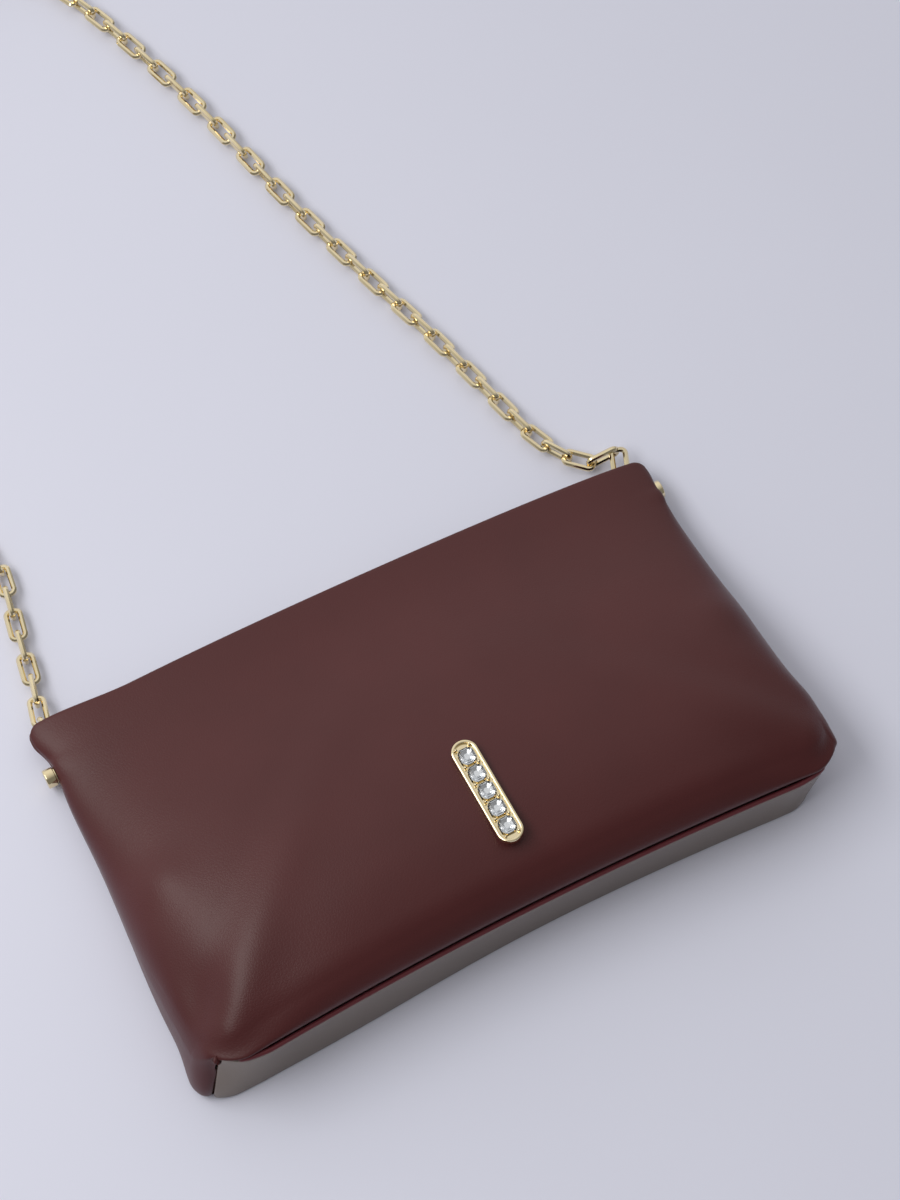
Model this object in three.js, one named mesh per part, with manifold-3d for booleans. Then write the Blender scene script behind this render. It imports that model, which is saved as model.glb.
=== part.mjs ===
// A soft leather clutch bag with a chain strap, lying on its back with the front panel up.
// Millimetres. +X runs across the bag, +Y from the base to the mouth, +Z up.
// The origin is on the surface the bag lies on, under the middle of the bag.
import * as THREE from 'three';
import { mergeVertices } from 'three/addons/utils/BufferGeometryUtils.js';
import Module from 'manifold-3d';

const { lerp, smoothstep } = THREE.MathUtils;

// Driving dimensions
const BASE_HALF = 110.6;
const WAIST_HALF = 106.8;
const MOUTH_HALF = 108.2;
const MOUTH_Y = 65.5;
const MOUTH_Z = 12.6;
const SEAM_Y = -63.25;
const SEAM_Z = 23.6;
const MOUTH_BOW = 2.2;
const MOUTH_CORNER = 5;
const BASE_BOW = 4.8;
const BASE_CORNER = 7;
const LEATHER = 1.4;
const PADDING = 2.6;
const INTERLINING = 1;
const LINING = 0.8;
const FACING = 1.2;
const GAP = 0.35;

// Side line, where the front and back panels face each other across a narrow slit
const SIDE_Z_BASE = 6.6;
const SIDE_Z_MOUTH = 5.6;
const SLIT = 3.6;
const GUSSET_INSET = 2;
const GUSSET = 0.8;

// Side studs, and the pinch they make in the sides
const STUD_Y = 51;
const PINCH_DEPTH = 1;
const PINCH_SPREAD = 8;
const STUD_HEAD_RADIUS = 3.2;
const STUD_HEAD_LENGTH = 3.6;
const SHANK_RADIUS = 1.25;

// Piping above and below the base strip
const PIPING_RADIUS = 0.95;
const STRIP_TOP = SEAM_Z - 3.1;
const STRIP_TURN = 12;
const CORNER_LIFT = 2;
const EAR_START = 0.925;
const EAR_END = 0.96;
const EAR_REACH = 0.08;

// Magnetic snap
const SNAP_Y = 55.5;
const SNAP_RADIUS = 8.5;

// Front ornament
const BAR_LENGTH = 37;
const BAR_WIDTH = 8.4;
const BAR_HEIGHT = 2.2;
const BAR_X = 4.5;
const BAR_Y = -26;
const CRYSTALS = 5;
const CRYSTAL_PITCH = 6.4;
const CRYSTAL_LENGTH = 5.4;
const CRYSTAL_WIDTH = 5;

// Chain
const LINK_LENGTH = 11.6;
const LINK_WIDTH = 6.2;
const WIRE = 1.7;
const CHAIN_RADIUS = 3.1;
const EYE_X = 98.3;
const EYE_RADIUS = 2.4;
const EYE_WIRE = 0.7;
const LINK_LEAN = 15;

// Middle section of the front panel from the base seam to the mouth, as (y, z)
const FRONT_PROFILE = new THREE.SplineCurve([
  new THREE.Vector2(SEAM_Y, SEAM_Z),
  new THREE.Vector2(-64.3, 26.6),
  new THREE.Vector2(-61.6, 31.2),
  new THREE.Vector2(-51, 35.2),
  new THREE.Vector2(-34, 36.4),
  new THREE.Vector2(-12, 34),
  new THREE.Vector2(12, 27.6),
  new THREE.Vector2(36, 19.4),
  new THREE.Vector2(51, 15.2),
  new THREE.Vector2(MOUTH_Y, MOUTH_Z),
]);

// Chain route, from the right end link over the mouth, round its folds and back to the left end link
const CHAIN_ROUTE = [
  [101.4, 63.6, 5.6], [102.4, 67, 6], [101, 69.8, 5.4], [97.4, 70.4, 4.4], [93.4, 71.8, 3.6], [89.8, 75.2, 3.4],
  [86.2, 80.2, 3.4], [83.2, 86.4, 3.4], [80.8, 94, 3.4],
  [75.4, 116, 3.4], [70, 137.5, 3.4], [61.8, 165.5, 3.4], [53.8, 195, 3.4],
  [47.6, 221, 3.4], [41.4, 248.5, 3.4], [33, 279, 3.4], [22.8, 309, 3.4], [12, 331, 3.4], [1, 341, 3.4],
  [-13, 341, 3.4], [-24, 331, 3.4], [-35, 306, 3.4], [-50, 269, 3.4], [-63, 240, 3.4], [-76, 227, 3.4],
  [-89, 227, 3.4], [-99, 237, 3.4], [-98, 255, 3.4], [-85, 284, 3.4], [-71, 316, 3.4], [-71, 335, 3.4],
  [-80, 344, 3.4], [-94, 344, 3.4], [-106, 331, 3.4], [-121, 299, 3.4], [-131, 269, 3.4], [-132, 239, 3.4],
  [-123, 207, 3.4], [-110, 173, 3.4], [-98, 143, 3.4], [-93, 125, 3.4], [-94.8, 111.6, 3.4],
  [-96.5, 101.8, 3.4], [-98, 92.8, 3.4], [-99.4, 84.5, 3.6], [-101, 77, 4.6], [-102.4, 70, 5.6],
  [-101.4, 63.6, 5.6],
].map((p) => new THREE.Vector3(...p));

// Materials
const leather = { color: 0x5a2b2e, roughness: 0.45, metalness: 0 };
const fabric = { color: 0x6b4a40, roughness: 0.9, metalness: 0 };
const foam = { color: 0xd8d2c4, roughness: 1, metalness: 0 };
const board = { color: 0x8a7a62, roughness: 0.9, metalness: 0 };
const gold = { color: 0xd9bd7a, roughness: 0.25, metalness: 1 };
const steel = { color: 0x9a9a9c, roughness: 0.4, metalness: 1 };
const crystal = { color: 0xe8eef4, roughness: 0.05, metalness: 0 };

const bag = new THREE.Group();
const wasm = await Module();
wasm.setup();

function add(name, geometry, look, parent = bag) {
  const mesh = new THREE.Mesh(geometry, new THREE.MeshStandardMaterial(look));
  mesh.name = name;
  parent.add(mesh);
  return mesh;
}

// Solids for cutting and joining

function solid(geometry) {
  const flat = geometry.index ? geometry.toNonIndexed() : geometry;
  const bare = new THREE.BufferGeometry().setAttribute('position', flat.getAttribute('position'));
  const merged = mergeVertices(bare, 1e-3);
  return new wasm.Manifold(
    new wasm.Mesh({
      numProp: 3,
      vertProperties: merged.attributes.position.array,
      triVerts: new Uint32Array(merged.index.array),
    }),
  );
}

function geometryOf(made) {
  const mesh = made.getMesh();
  return new THREE.BufferGeometry()
    .setAttribute('position', new THREE.BufferAttribute(mesh.vertProperties, 3))
    .setIndex(new THREE.BufferAttribute(mesh.triVerts, 1));
}

function cut(geometry, ...tools) {
  let made = solid(geometry);
  for (const tool of tools) made = made.subtract(solid(tool));
  return geometryOf(made);
}

function join(...geometries) {
  return geometryOf(geometries.map(solid).reduce((a, b) => a.add(b)));
}

function cylinderX(radius, x0, x1, y, z, sides = 16) {
  return new THREE.CylinderGeometry(radius, radius, x1 - x0, sides)
    .rotateZ(-Math.PI / 2)
    .translate((x0 + x1) / 2, y, z);
}

function cylinderZ(radius, z0, z1, x, y, sides = 16) {
  return new THREE.CylinderGeometry(radius, radius, z1 - z0, sides)
    .rotateX(Math.PI / 2)
    .translate(x, y, (z0 + z1) / 2);
}

function lathe(points, sides = 24) {
  return new THREE.LatheGeometry(points.map((p) => new THREE.Vector2(...p)), sides);
}

function tube(path, radius, steps, sides) {
  const ring = [...Array(sides).keys()].map((k) => {
    const turn = (2 * Math.PI * k) / sides;
    return new THREE.Vector2(radius * Math.cos(turn), radius * Math.sin(turn));
  });
  return new THREE.ExtrudeGeometry(new THREE.Shape(ring), { steps, extrudePath: path });
}

// A closed sheet between an upper and a lower surface that share one grid of (a, b) values.
// Seen from the upper side, a runs to the right and b runs up.
function sheet(upper, lower, across, along) {
  const cols = across.length;
  const rows = along.length;
  const positions = [];
  for (const surface of [upper, lower]) {
    for (const b of along) {
      for (const a of across) positions.push(...surface(a, b));
    }
  }
  const up = (i, j) => j * cols + i;
  const low = (i, j) => cols * rows + j * cols + i;
  const index = [];
  const quad = (p, q, r, s) => index.push(p, q, r, p, r, s);
  for (let j = 0; j + 1 < rows; j++) {
    for (let i = 0; i + 1 < cols; i++) {
      quad(up(i, j), up(i + 1, j), up(i + 1, j + 1), up(i, j + 1));
      quad(low(i, j), low(i, j + 1), low(i + 1, j + 1), low(i + 1, j));
    }
    quad(up(0, j), up(0, j + 1), low(0, j + 1), low(0, j));
    quad(low(cols - 1, j), low(cols - 1, j + 1), up(cols - 1, j + 1), up(cols - 1, j));
  }
  for (let i = 0; i + 1 < cols; i++) {
    quad(low(i, 0), low(i + 1, 0), up(i + 1, 0), up(i, 0));
    quad(up(i, rows - 1), up(i + 1, rows - 1), low(i + 1, rows - 1), low(i, rows - 1));
  }
  return new THREE.BufferGeometry()
    .setAttribute('position', new THREE.Float32BufferAttribute(positions, 3))
    .setIndex(index);
}

function spread(from, to, steps) {
  return [...Array(steps + 1).keys()].map((k) => lerp(from, to, k / steps));
}

// The bag's outline

function halfWidth(y) {
  const body = lerp(BASE_HALF, WAIST_HALF, smoothstep(y, -50, 25));
  const mouth = (MOUTH_HALF - WAIST_HALF) * smoothstep(y, 52, 64);
  return body + mouth - PINCH_DEPTH * Math.exp(-(((y - STUD_Y) / PINCH_SPREAD) ** 2));
}

function sideLine(y) {
  return lerp(SIDE_Z_BASE, SIDE_Z_MOUTH, smoothstep(y, SEAM_Y, 45));
}

// How far a rounded corner pulls an edge in at x
function cornerPull(x, half, radius) {
  const past = Math.max(0, Math.abs(x) - (half - radius));
  return radius - Math.sqrt(Math.max(0, radius ** 2 - past ** 2));
}

function mouthEdge(x) {
  return MOUTH_Y - MOUTH_BOW * (x / MOUTH_HALF) ** 2 - cornerPull(x, MOUTH_HALF, MOUTH_CORNER);
}

function baseLine(x) {
  return SEAM_Y + BASE_BOW * (1 - (x / BASE_HALF) ** 2);
}

function baseEdge(x) {
  return baseLine(x) + cornerPull(x, BASE_HALF, BASE_CORNER);
}

// Fits a height on the bag, counted on its straight outline, between the base edge and the mouth edge
function trimmedY(x, y) {
  const along = (y - SEAM_Y) / (MOUTH_Y - SEAM_Y);
  return along < 0 ? baseEdge(x) + y - SEAM_Y : lerp(baseEdge(x), mouthEdge(x), along);
}

// A point of the front panel, sunk by depth under its outer face.
// a runs across from side to side, -1 to 1, b from the base seam, 0, to the mouth, 1.
// At the base corners its edge turns down along the end of the base strip.
function frontPoint(a, b, depth) {
  const profile = FRONT_PROFILE.getPointAt(b);
  const run = FRONT_PROFILE.getTangentAt(b);
  const middleY = profile.x + depth * run.y;
  const middleZ = profile.y - depth * run.x;
  const power = 3.6 + 5.4 * Math.exp(-b / 0.15);
  const round = (1 - Math.abs(a) ** power) ** (1 / power);
  const turned = 1 - smoothstep(Math.abs(a), EAR_START, EAR_END);
  const rise = lerp(turned, round, smoothstep(b, 0, EAR_REACH));
  const y = lerp(lerp(SEAM_Y + depth, MOUTH_Y, b), middleY, rise);
  const x = (halfWidth(y) - depth) * a;
  return [x, trimmedY(x, y), lerp(sideLine(y) + SLIT / 2, middleZ, rise)];
}

// A point of the back panel, raised by depth over its outer face, which lies flat but for rolled-up sides.
function backPoint(a, b, depth) {
  const flat = 0.88;
  const y = lerp(SEAM_Y, MOUTH_Y, b);
  const x = (halfWidth(y) - depth) * a;
  const roll = Math.max(0, Math.abs(a) - flat) / (1 - flat);
  const edgeZ = sideLine(y) - SLIT / 2;
  return [x, trimmedY(x, y), lerp(depth, edgeZ, 1 - Math.sqrt(Math.max(0, 1 - roll ** 2)))];
}

const ACROSS = spread(-1, 1, 24).map((a) => Math.sin((Math.PI * a) / 2));
const BACK_ACROSS = [-1, -0.99, -0.965, -0.93, -0.88, -0.45, 0, 0.45, 0.88, 0.93, 0.965, 0.99, 1];
const FRONT_ALONG = [0, 0.018, 0.04, 0.07, 0.11, 0.16, 0.22, 0.29, 0.37, 0.46, 0.55, 0.64, 0.73, 0.8, 0.86, 0.9, 0.95, 1];
const BACK_ALONG = [0, 0.12, 0.3, 0.48, 0.64, 0.74, 0.8, 0.85, 0.9, 0.95, 1];
const within = (values, low, high) => values.filter((v) => v >= low && v <= high);

function frontLayer(top, thickness, across, along) {
  const upper = (a, b) => frontPoint(a, b, top);
  const lower = (a, b) => frontPoint(a, b, top + thickness);
  return sheet(upper, lower, across, along);
}

// A flat rectangular layer on the back panel, with its underside at height z
function backLayer(halfLength, y0, y1, z, thickness) {
  return new THREE.BoxGeometry(2 * halfLength, y1 - y0, thickness).translate(0, (y0 + y1) / 2, z + thickness / 2);
}

// Ornament frame of reference, on the front panel's outer face at BAR_X and BAR_Y
const barPlace = spread(0, 1, 400)
  .map((b) => ({ at: FRONT_PROFILE.getPointAt(b), run: FRONT_PROFILE.getTangentAt(b) }))
  .filter((p) => p.at.y > 30)
  .reduce((best, p) => (Math.abs(p.at.x - BAR_Y) < Math.abs(best.at.x - BAR_Y) ? p : best));
const ornament = new THREE.Group();
ornament.position.set(BAR_X, barPlace.at.x, barPlace.at.y);
ornament.rotation.x = Math.atan2(barPlace.run.y, barPlace.run.x);
ornament.updateMatrix();
bag.add(ornament);

const RIVETS = [-2 * CRYSTAL_PITCH, 2 * CRYSTAL_PITCH];
const inBag = (geometry) => geometry.applyMatrix4(ornament.matrix);
const rivetHole = (y) => inBag(cylinderZ(1.1, -4, 4, 0, y, 12));
const backingSlot = () => inBag(new THREE.BoxGeometry(6, BAR_LENGTH + 2, 12).translate(0, 0, -3));

// Front panel with its layers
const panelSheet = frontLayer(0, LEATHER, ACROSS, FRONT_ALONG);
add('front_panel', cut(panelSheet, ...RIVETS.map(rivetHole)), leather);
const softAcross = within(ACROSS, -0.87, 0.87);
const softAlong = within(FRONT_ALONG, 0.15, 0.81);
const paddingTop = LEATHER + GAP;
add('front_padding', cut(frontLayer(paddingTop, PADDING, softAcross, softAlong), backingSlot()), foam);
add('front_lining', frontLayer(paddingTop + PADDING + GAP, LINING, softAcross, softAlong), fabric);
const facingAlong = within(FRONT_ALONG, 0.855, 0.96).concat(0.985);
add('front_facing', frontLayer(LEATHER + GAP, FACING, softAcross, facingAlong), leather);

// Back panel with its layers
const backSheet = sheet((a, b) => backPoint(a, b, LEATHER), (a, b) => backPoint(a, b, 0), BACK_ACROSS, BACK_ALONG);
add('back_panel', backSheet, leather);
add('back_interlining', backLayer(94, -55, 44, LEATHER + GAP, INTERLINING), foam);
const liningZ = LEATHER + INTERLINING + 2 * GAP;
add('back_lining', backLayer(94, -55, 44, liningZ, LINING), fabric);
add('slip_pocket', backLayer(66, -52, 12, liningZ + LINING + GAP, LINING), fabric);
add('back_facing', backLayer(94, 45, 62, LEATHER + GAP, FACING), leather);

// Base strip: it follows the base edge at a small distance and starts to turn round the corners.
// A place on it runs from -1 to 1 at the ends, with the corners past 0.9.
function basePlan(place, offset) {
  const side = Math.sign(place);
  const turn = THREE.MathUtils.degToRad(STRIP_TURN) * (Math.max(0, Math.abs(place) - 0.9) / 0.1);
  const reach = BASE_CORNER + offset;
  const straight = (Math.min(Math.abs(place), 0.9) / 0.9) * (BASE_HALF - BASE_CORNER);
  const x = side * (straight + reach * Math.sin(turn));
  return [x, baseLine(x) + BASE_CORNER - reach * Math.cos(turn)];
}
function basePoint(place, t, offset) {
  const foot = 2 * PIPING_RADIUS + 2 * GAP + CORNER_LIFT * Math.max(0, Math.abs(place) - 0.9) / 0.1;
  return [...basePlan(place, offset), lerp(foot, STRIP_TOP, t)];
}
const basePlaces = [-1, -0.98, -0.96, -0.94, -0.92, -0.9, -0.87, -0.6, -0.3, 0, 0.3, 0.6, 0.87, 0.9, 0.92, 0.94, 0.96, 0.98, 1];
const baseOuter = (place, t) => basePoint(place, t, GAP + LEATHER);
const baseInner = (place, t) => basePoint(place, t, GAP);
add('base_panel', sheet(baseOuter, baseInner, basePlaces, spread(0, 1, 2)), leather);
function piping(reach, z) {
  const places = basePlaces.filter((place) => Math.abs(place) <= reach);
  const path = places.map((place) => new THREE.Vector3(...basePlan(place, GAP + PIPING_RADIUS), z));
  return tube(new THREE.CatmullRomCurve3(path, false, 'centripetal'), PIPING_RADIUS, 40, 8);
}
add('base_piping_front', piping(0.87, STRIP_TOP + GAP + PIPING_RADIUS), leather);
add('base_piping_back', piping(0.91, PIPING_RADIUS + 0.1), leather);
add('base_board', new THREE.BoxGeometry(190, 1.2, 14).translate(0, -56.4, 11.4), board);

// Magnetic snap: a cup with a ring magnet on the back facing, a plate with a stud on the front facing
const snapFloor = LEATHER + GAP + FACING + GAP;
const snapRoof = MOUTH_Z - LEATHER - FACING - 2 * GAP;
const cupProfile = [
  [SNAP_RADIUS - 0.6, 0], [SNAP_RADIUS, 0], [SNAP_RADIUS, 2.4], [SNAP_RADIUS - 0.6, 3],
  [2.9, 3], [2.9, 2.4], [SNAP_RADIUS - 0.6, 2.4], [SNAP_RADIUS - 0.6, 0],
];
const magnetProfile = [[2.9, 0], [7.5, 0], [7.5, 2], [2.9, 2], [2.9, 0]];
const plateProfile = [
  [0, -1.6], [2.2, -1.6], [2.2, 0], [SNAP_RADIUS - 0.8, 0], [SNAP_RADIUS - 0.8, 1.5], [0, 1.5],
];
const upright = (geometry, z) => geometry.rotateX(Math.PI / 2).translate(0, SNAP_Y, z);
add('snap_socket', upright(lathe(cupProfile), snapFloor), gold);
add('snap_magnet', upright(lathe(magnetProfile), snapFloor + 0.1), steel);
add('snap_stud', upright(lathe(plateProfile), snapRoof - 1.5), gold);

// Ornament: a slim bar with round ends that holds a row of step-cut crystals
function stadium(length, width, height, z) {
  const r = width / 2;
  const shape = new THREE.Shape();
  shape.absarc(0, length / 2 - r, r, 0, Math.PI, false);
  shape.absarc(0, -length / 2 + r, r, Math.PI, 2 * Math.PI, false);
  const bevel = { bevelSize: 0.5, bevelOffset: -0.5, bevelThickness: 0.5, bevelSegments: 1 };
  const extrude = { depth: height - 1, curveSegments: 10, ...bevel };
  return new THREE.ExtrudeGeometry(shape, extrude).translate(0, 0, z + 0.5);
}
const crystalY = [...Array(CRYSTALS).keys()].map((k) => (k - (CRYSTALS - 1) / 2) * CRYSTAL_PITCH);
const seat = (y) =>
  new THREE.BoxGeometry(CRYSTAL_WIDTH + 0.6, CRYSTAL_LENGTH + 0.6, 2).translate(0, y, GAP + BAR_HEIGHT - 0.2);
const barHole = (y) => cylinderZ(0.95, -1, 1.15, 0, y, 12);
const barBody = stadium(BAR_LENGTH, BAR_WIDTH, BAR_HEIGHT, GAP);
add('ornament_bar', cut(barBody, ...crystalY.map(seat), ...RIVETS.map(barHole)), gold, ornament);

// Step-cut stone: a girdle with a sloped crown and a flat table
function stepCut(y, z) {
  const rise = [[1, 0], [1, 0.7], [0.82, 1.3], [0.6, 1.6]];
  const across = [-1, 1];
  const levels = rise.map(([scale, height]) =>
    across.flatMap((v) => across.map((u) => [(u * scale * CRYSTAL_WIDTH) / 2, y + (v * scale * CRYSTAL_LENGTH) / 2, z + height])),
  );
  const index = [0, 2, 1, 1, 2, 3];
  levels.slice(1).forEach((level, k) => {
    const p = 4 * k;
    for (const [s, t] of [[0, 1], [1, 3], [3, 2], [2, 0]]) {
      index.push(p + s, p + t, p + 4 + t, p + s, p + 4 + t, p + 4 + s);
    }
  });
  const top = 4 * (levels.length - 1);
  index.push(top, top + 1, top + 3, top, top + 3, top + 2);
  return new THREE.BufferGeometry()
    .setAttribute('position', new THREE.Float32BufferAttribute(levels.flat(2), 3))
    .setIndex(index);
}
crystalY.forEach((y, k) => {
  add(`crystal_${k + 1}`, stepCut(y, GAP + BAR_HEIGHT - 0.85), crystal, ornament);
});
RIVETS.forEach((y, k) => {
  add(`ornament_rivet_${k + 1}`, cylinderZ(0.6, -4.3, 0.8, 0, y, 12), gold, ornament);
});
const plateHole = (y) => cylinderZ(0.95, -5, 5, 0, y, 12);
const plate = new THREE.BoxGeometry(4.6, BAR_LENGTH - 4, 0.5).translate(0, 0, -4);
add('ornament_backing', cut(plate, ...RIVETS.map(plateHole)), steel, ornament);

// Sides: gusset, stud, eye bolt, washer and end link, built on the right and mirrored
const left = new THREE.Group();
left.scale.x = -1;
bag.add(left);
const sideX = halfWidth(STUD_Y);
const sideZ = sideLine(STUD_Y);

function gussetPoint(y, t, depth) {
  const half = Math.min(2.4, sideLine(y) - 3.75);
  return [halfWidth(y) - GUSSET_INSET - depth, y, sideLine(y) + half * t];
}
const gussetAlong = [-52, -35, -10, 12, 28, 36, 42, 46, 51, 54];
const gussetSheet = () =>
  sheet((y, t) => gussetPoint(y, t, 0), (y, t) => gussetPoint(y, t, GUSSET), gussetAlong, spread(-1, 1, 4));
const washerX = sideX - GUSSET_INSET - GUSSET - GAP;
const headProfile = [
  [0, 0], [STUD_HEAD_RADIUS - 0.5, 0], [STUD_HEAD_RADIUS - 0.5, 0.6], [STUD_HEAD_RADIUS, 0.9],
  [STUD_HEAD_RADIUS, STUD_HEAD_LENGTH - 0.6], [STUD_HEAD_RADIUS - 0.6, STUD_HEAD_LENGTH], [0, STUD_HEAD_LENGTH],
];

function eyeBolt() {
  const shank = cylinderX(SHANK_RADIUS, EYE_X + EYE_RADIUS, sideX + GAP, STUD_Y, sideZ, 12);
  const eye = new THREE.TorusGeometry(EYE_RADIUS, EYE_WIRE, 8, 20).translate(EYE_X, STUD_Y, sideZ);
  return join(shank, eye);
}

// An upright link hooked in the eye, that reaches towards the mouth and leans outwards
function endLink() {
  const r = (LINK_WIDTH - WIRE) / 2;
  const half = LINK_LENGTH / 2 - WIRE / 2 - r;
  const middleY = LINK_LENGTH / 2 - WIRE / 2;
  const points = [];
  for (const [end, start] of [[1, 0], [-1, Math.PI]]) {
    for (const turn of spread(start, start + Math.PI, 8)) {
      points.push(new THREE.Vector3(0, middleY + end * half + r * Math.sin(turn), r * Math.cos(turn)));
    }
  }
  const ring = [...Array(8).keys()].map((k) => {
    const turn = (2 * Math.PI * k) / 8;
    return [(WIRE / 2) * Math.cos(turn), (WIRE / 2) * Math.sin(turn)];
  });
  const centre = new THREE.Vector3(0, middleY, 0);
  const positions = [];
  const index = [];
  points.forEach((p, i) => {
    const core = centre.clone().setY(THREE.MathUtils.clamp(p.y, middleY - half, middleY + half));
    const out = p.clone().sub(core).normalize();
    ring.forEach(([u, v], k) => {
      positions.push(p.x + v, p.y + out.y * u, p.z + out.z * u);
      const n = (i + 1) % points.length;
      const m = (k + 1) % 8;
      index.push(i * 8 + k, n * 8 + m, n * 8 + k, i * 8 + k, i * 8 + m, n * 8 + m);
    });
  });
  return new THREE.BufferGeometry()
    .setAttribute('position', new THREE.Float32BufferAttribute(positions, 3))
    .setIndex(index)
    .rotateZ(THREE.MathUtils.degToRad(-LINK_LEAN))
    .translate(EYE_X, STUD_Y + EYE_RADIUS - EYE_WIRE - WIRE / 2, sideZ);
}

for (const [side, parent] of [['right', bag], ['left', left]]) {
  const shankHole = cylinderX(SHANK_RADIUS + 0.3, EYE_X, sideX + 3, STUD_Y, sideZ, 12);
  add(`gusset_${side}`, cut(gussetSheet(), shankHole), leather, parent);
  const head = lathe(headProfile, 20).rotateZ(-Math.PI / 2).translate(sideX + 2 * GAP, STUD_Y, sideZ);
  add(`stud_head_${side}`, head, gold, parent);
  add(`eye_bolt_${side}`, eyeBolt(), gold, parent);
  const ring = cylinderX(2.4, washerX - 0.5, washerX, STUD_Y, sideZ, 16);
  add(`washer_${side}`, cut(ring, shankHole), steel, parent);
  add(`end_link_${side}`, endLink(), gold, parent);
}

// Chain strap as a plain tube along its route
const route = new THREE.CatmullRomCurve3(CHAIN_ROUTE, false, 'centripetal');
add('chain_strap', tube(route, CHAIN_RADIUS, 76, 8), gold);

export default bag;
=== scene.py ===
"""A soft oxblood leather clutch bag with a gold chain strap, lying on its back with the front panel up.

Sizes are in millimetres, as on a maker's drawing, and each mesh is scaled to metres as it is made.
+X runs across the bag, +Y from the base to the mouth, +Z up.
"""
import math

import bmesh
import bpy
import numpy as np
from mathutils import Matrix, Vector


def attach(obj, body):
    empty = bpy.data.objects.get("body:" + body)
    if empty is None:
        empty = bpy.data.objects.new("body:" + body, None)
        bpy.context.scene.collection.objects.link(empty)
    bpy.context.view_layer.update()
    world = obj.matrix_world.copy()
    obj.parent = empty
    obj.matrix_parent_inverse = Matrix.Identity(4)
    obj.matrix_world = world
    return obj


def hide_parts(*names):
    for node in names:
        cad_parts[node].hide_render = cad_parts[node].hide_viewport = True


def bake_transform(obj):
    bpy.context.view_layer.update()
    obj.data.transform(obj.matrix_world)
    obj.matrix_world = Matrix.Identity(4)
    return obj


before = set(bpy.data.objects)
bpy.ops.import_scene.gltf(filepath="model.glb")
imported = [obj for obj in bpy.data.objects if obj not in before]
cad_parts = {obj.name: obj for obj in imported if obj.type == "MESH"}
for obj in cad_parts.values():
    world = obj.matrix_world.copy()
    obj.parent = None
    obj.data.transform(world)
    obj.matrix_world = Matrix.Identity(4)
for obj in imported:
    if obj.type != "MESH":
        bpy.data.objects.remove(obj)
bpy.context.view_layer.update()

MM = 0.001

# In the values below, a ramp is where a change sets in and where it is full, a bell its middle and its reach

# Bag outline
BASE_HALF = 110.6
WAIST_HALF = 106.8
WAIST_RAMP_Y = (-50, 25)
MOUTH_HALF = 108.2
MOUTH_RAMP_Y = (52, 64)
MOUTH_Y = 65.5
MOUTH_BOW = 2.2
MOUTH_CORNER = 4
SEAM_Y = -63.25
SEAM_Z = 23.6
BASE_BOW = 4.8
SIDE_Z_BASE = 1.3
SIDE_Z_MOUTH = 5.6
SIDE_TOP_Y = 45
SLIT = 0.3
SHANK_ROOM = 1.2
SHANK_REACH = 2.4
UNDERCUT = 1.2
UNDERCUT_RAMP_Y = (10, 50)
BACK_FLAT = 0.88
EDGE_POWER = 24
LEATHER = 1.4
PADDING = 2.6
FACING = 1.2
LINING = 0.8
INTERLINING = 1
GAP = 0.35

# Middle section of the front panel from the base seam to the mouth, as (y, z)
FRONT_PROFILE = [
    (SEAM_Y, SEAM_Z), (-64, 25.4), (-62.8, 27.8), (-58.6, 31.4), (-51, 34.6), (-34, 36.4),
    (-12, 34), (12, 27.6), (36, 19.4), (51, 15.2), (MOUTH_Y, 12.6),
]

# Cross-sections of the front panel: the superellipse's power, what it gains towards the base and at the seam
# and over which share of the middle section, and how much rounder the left half is
SECTION_POWER = 3.8
BASE_POWER = 3.2
BASE_POWER_REACH = 0.2
SEAM_POWER = 17
SEAM_POWER_REACH = 0.02
LEFT_ROUNDING = 0.75

# Base corners, where the front panel's side wraps round to the end of the base strip
END_TAPER = 4.4
TAPER_LENGTH = 9
WALL_SHARE = 0.012
CORNER_FADE = 14
CORNER_FADE_POWER = 1.3
CORNER_SOFTNESS = 1.2

# Layers inside the mouth and on the back panel, as shares of the front panel or in millimetres
FRONT_LINING_ACROSS = 0.93
FRONT_LINING_UP = (0.065, 0.87)
FRONT_FACING_ACROSS = 0.9
FRONT_FACING_UP = (0.852, 0.965)
BACK_LINING_HALF = 94
BACK_LINING_Y = (-55, 44)
BACK_LINING_Z = LEATHER + INTERLINING + 2 * GAP
BACK_FACING_HALF = 94
BACK_FACING_Y = (45, 62)
POCKET_HALF = 66
POCKET_Y = (-52, 12)
DRAPE = 0.12
DRAPE_WAVE_X = 13
DRAPE_WAVE_Y = 11

# Stitches
STITCH_PITCH = 4
STITCH_LENGTH = 3
THREAD_RADIUS = 0.3
THREAD_LIFT = 0.1
BAND_ROW_HALF = 90
BAND_ROW_Y = 47.2
POCKET_ROW_HALF = 62
POCKET_ROWS_Y = (-50, 9)

# Base strip, its pipings and the board behind it
STRIP_TOP = SEAM_Z - 3.1
STRIP_FOOT = 0.9
STRIP_TOP_HALF = 103.8
STRIP_FOOT_HALF = 104.5
STRIP_HOLLOW = 0.3
SINK_RAMP_X = (88, 102)
FOOT_SINK = 0.2
CORNER_RISE = 1.6
CORNER_RISE_RAMP = (0.93, 1)
PIPING_RADIUS = 0.85
PIPING_HALF = 98.5
PIPING_LIFT = 2.7 * GAP
BACK_PIPING_INSET = 1.2
BACK_PIPING_LIFT = 0.1
BOARD_HALF = 94.4
BOARD_Y = -55.8
BOARD_Z = (5, 17.8)
BOARD_THICKNESS = 1.2

# Side gussets
GUSSET_Y = (-51, 44)
GUSSET_INSET = 1.9
GUSSET_DEPTH = 3
GUSSET_SWELL = 9
GUSSET_RAMP_Y = (-58, 46)
GUSSET_FOLD_POWER = 1.6
GUSSET_HALF = 1.15
GUSSET_LIFT_POWER = 0.35
GUSSET_LEATHER = 0.8

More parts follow.
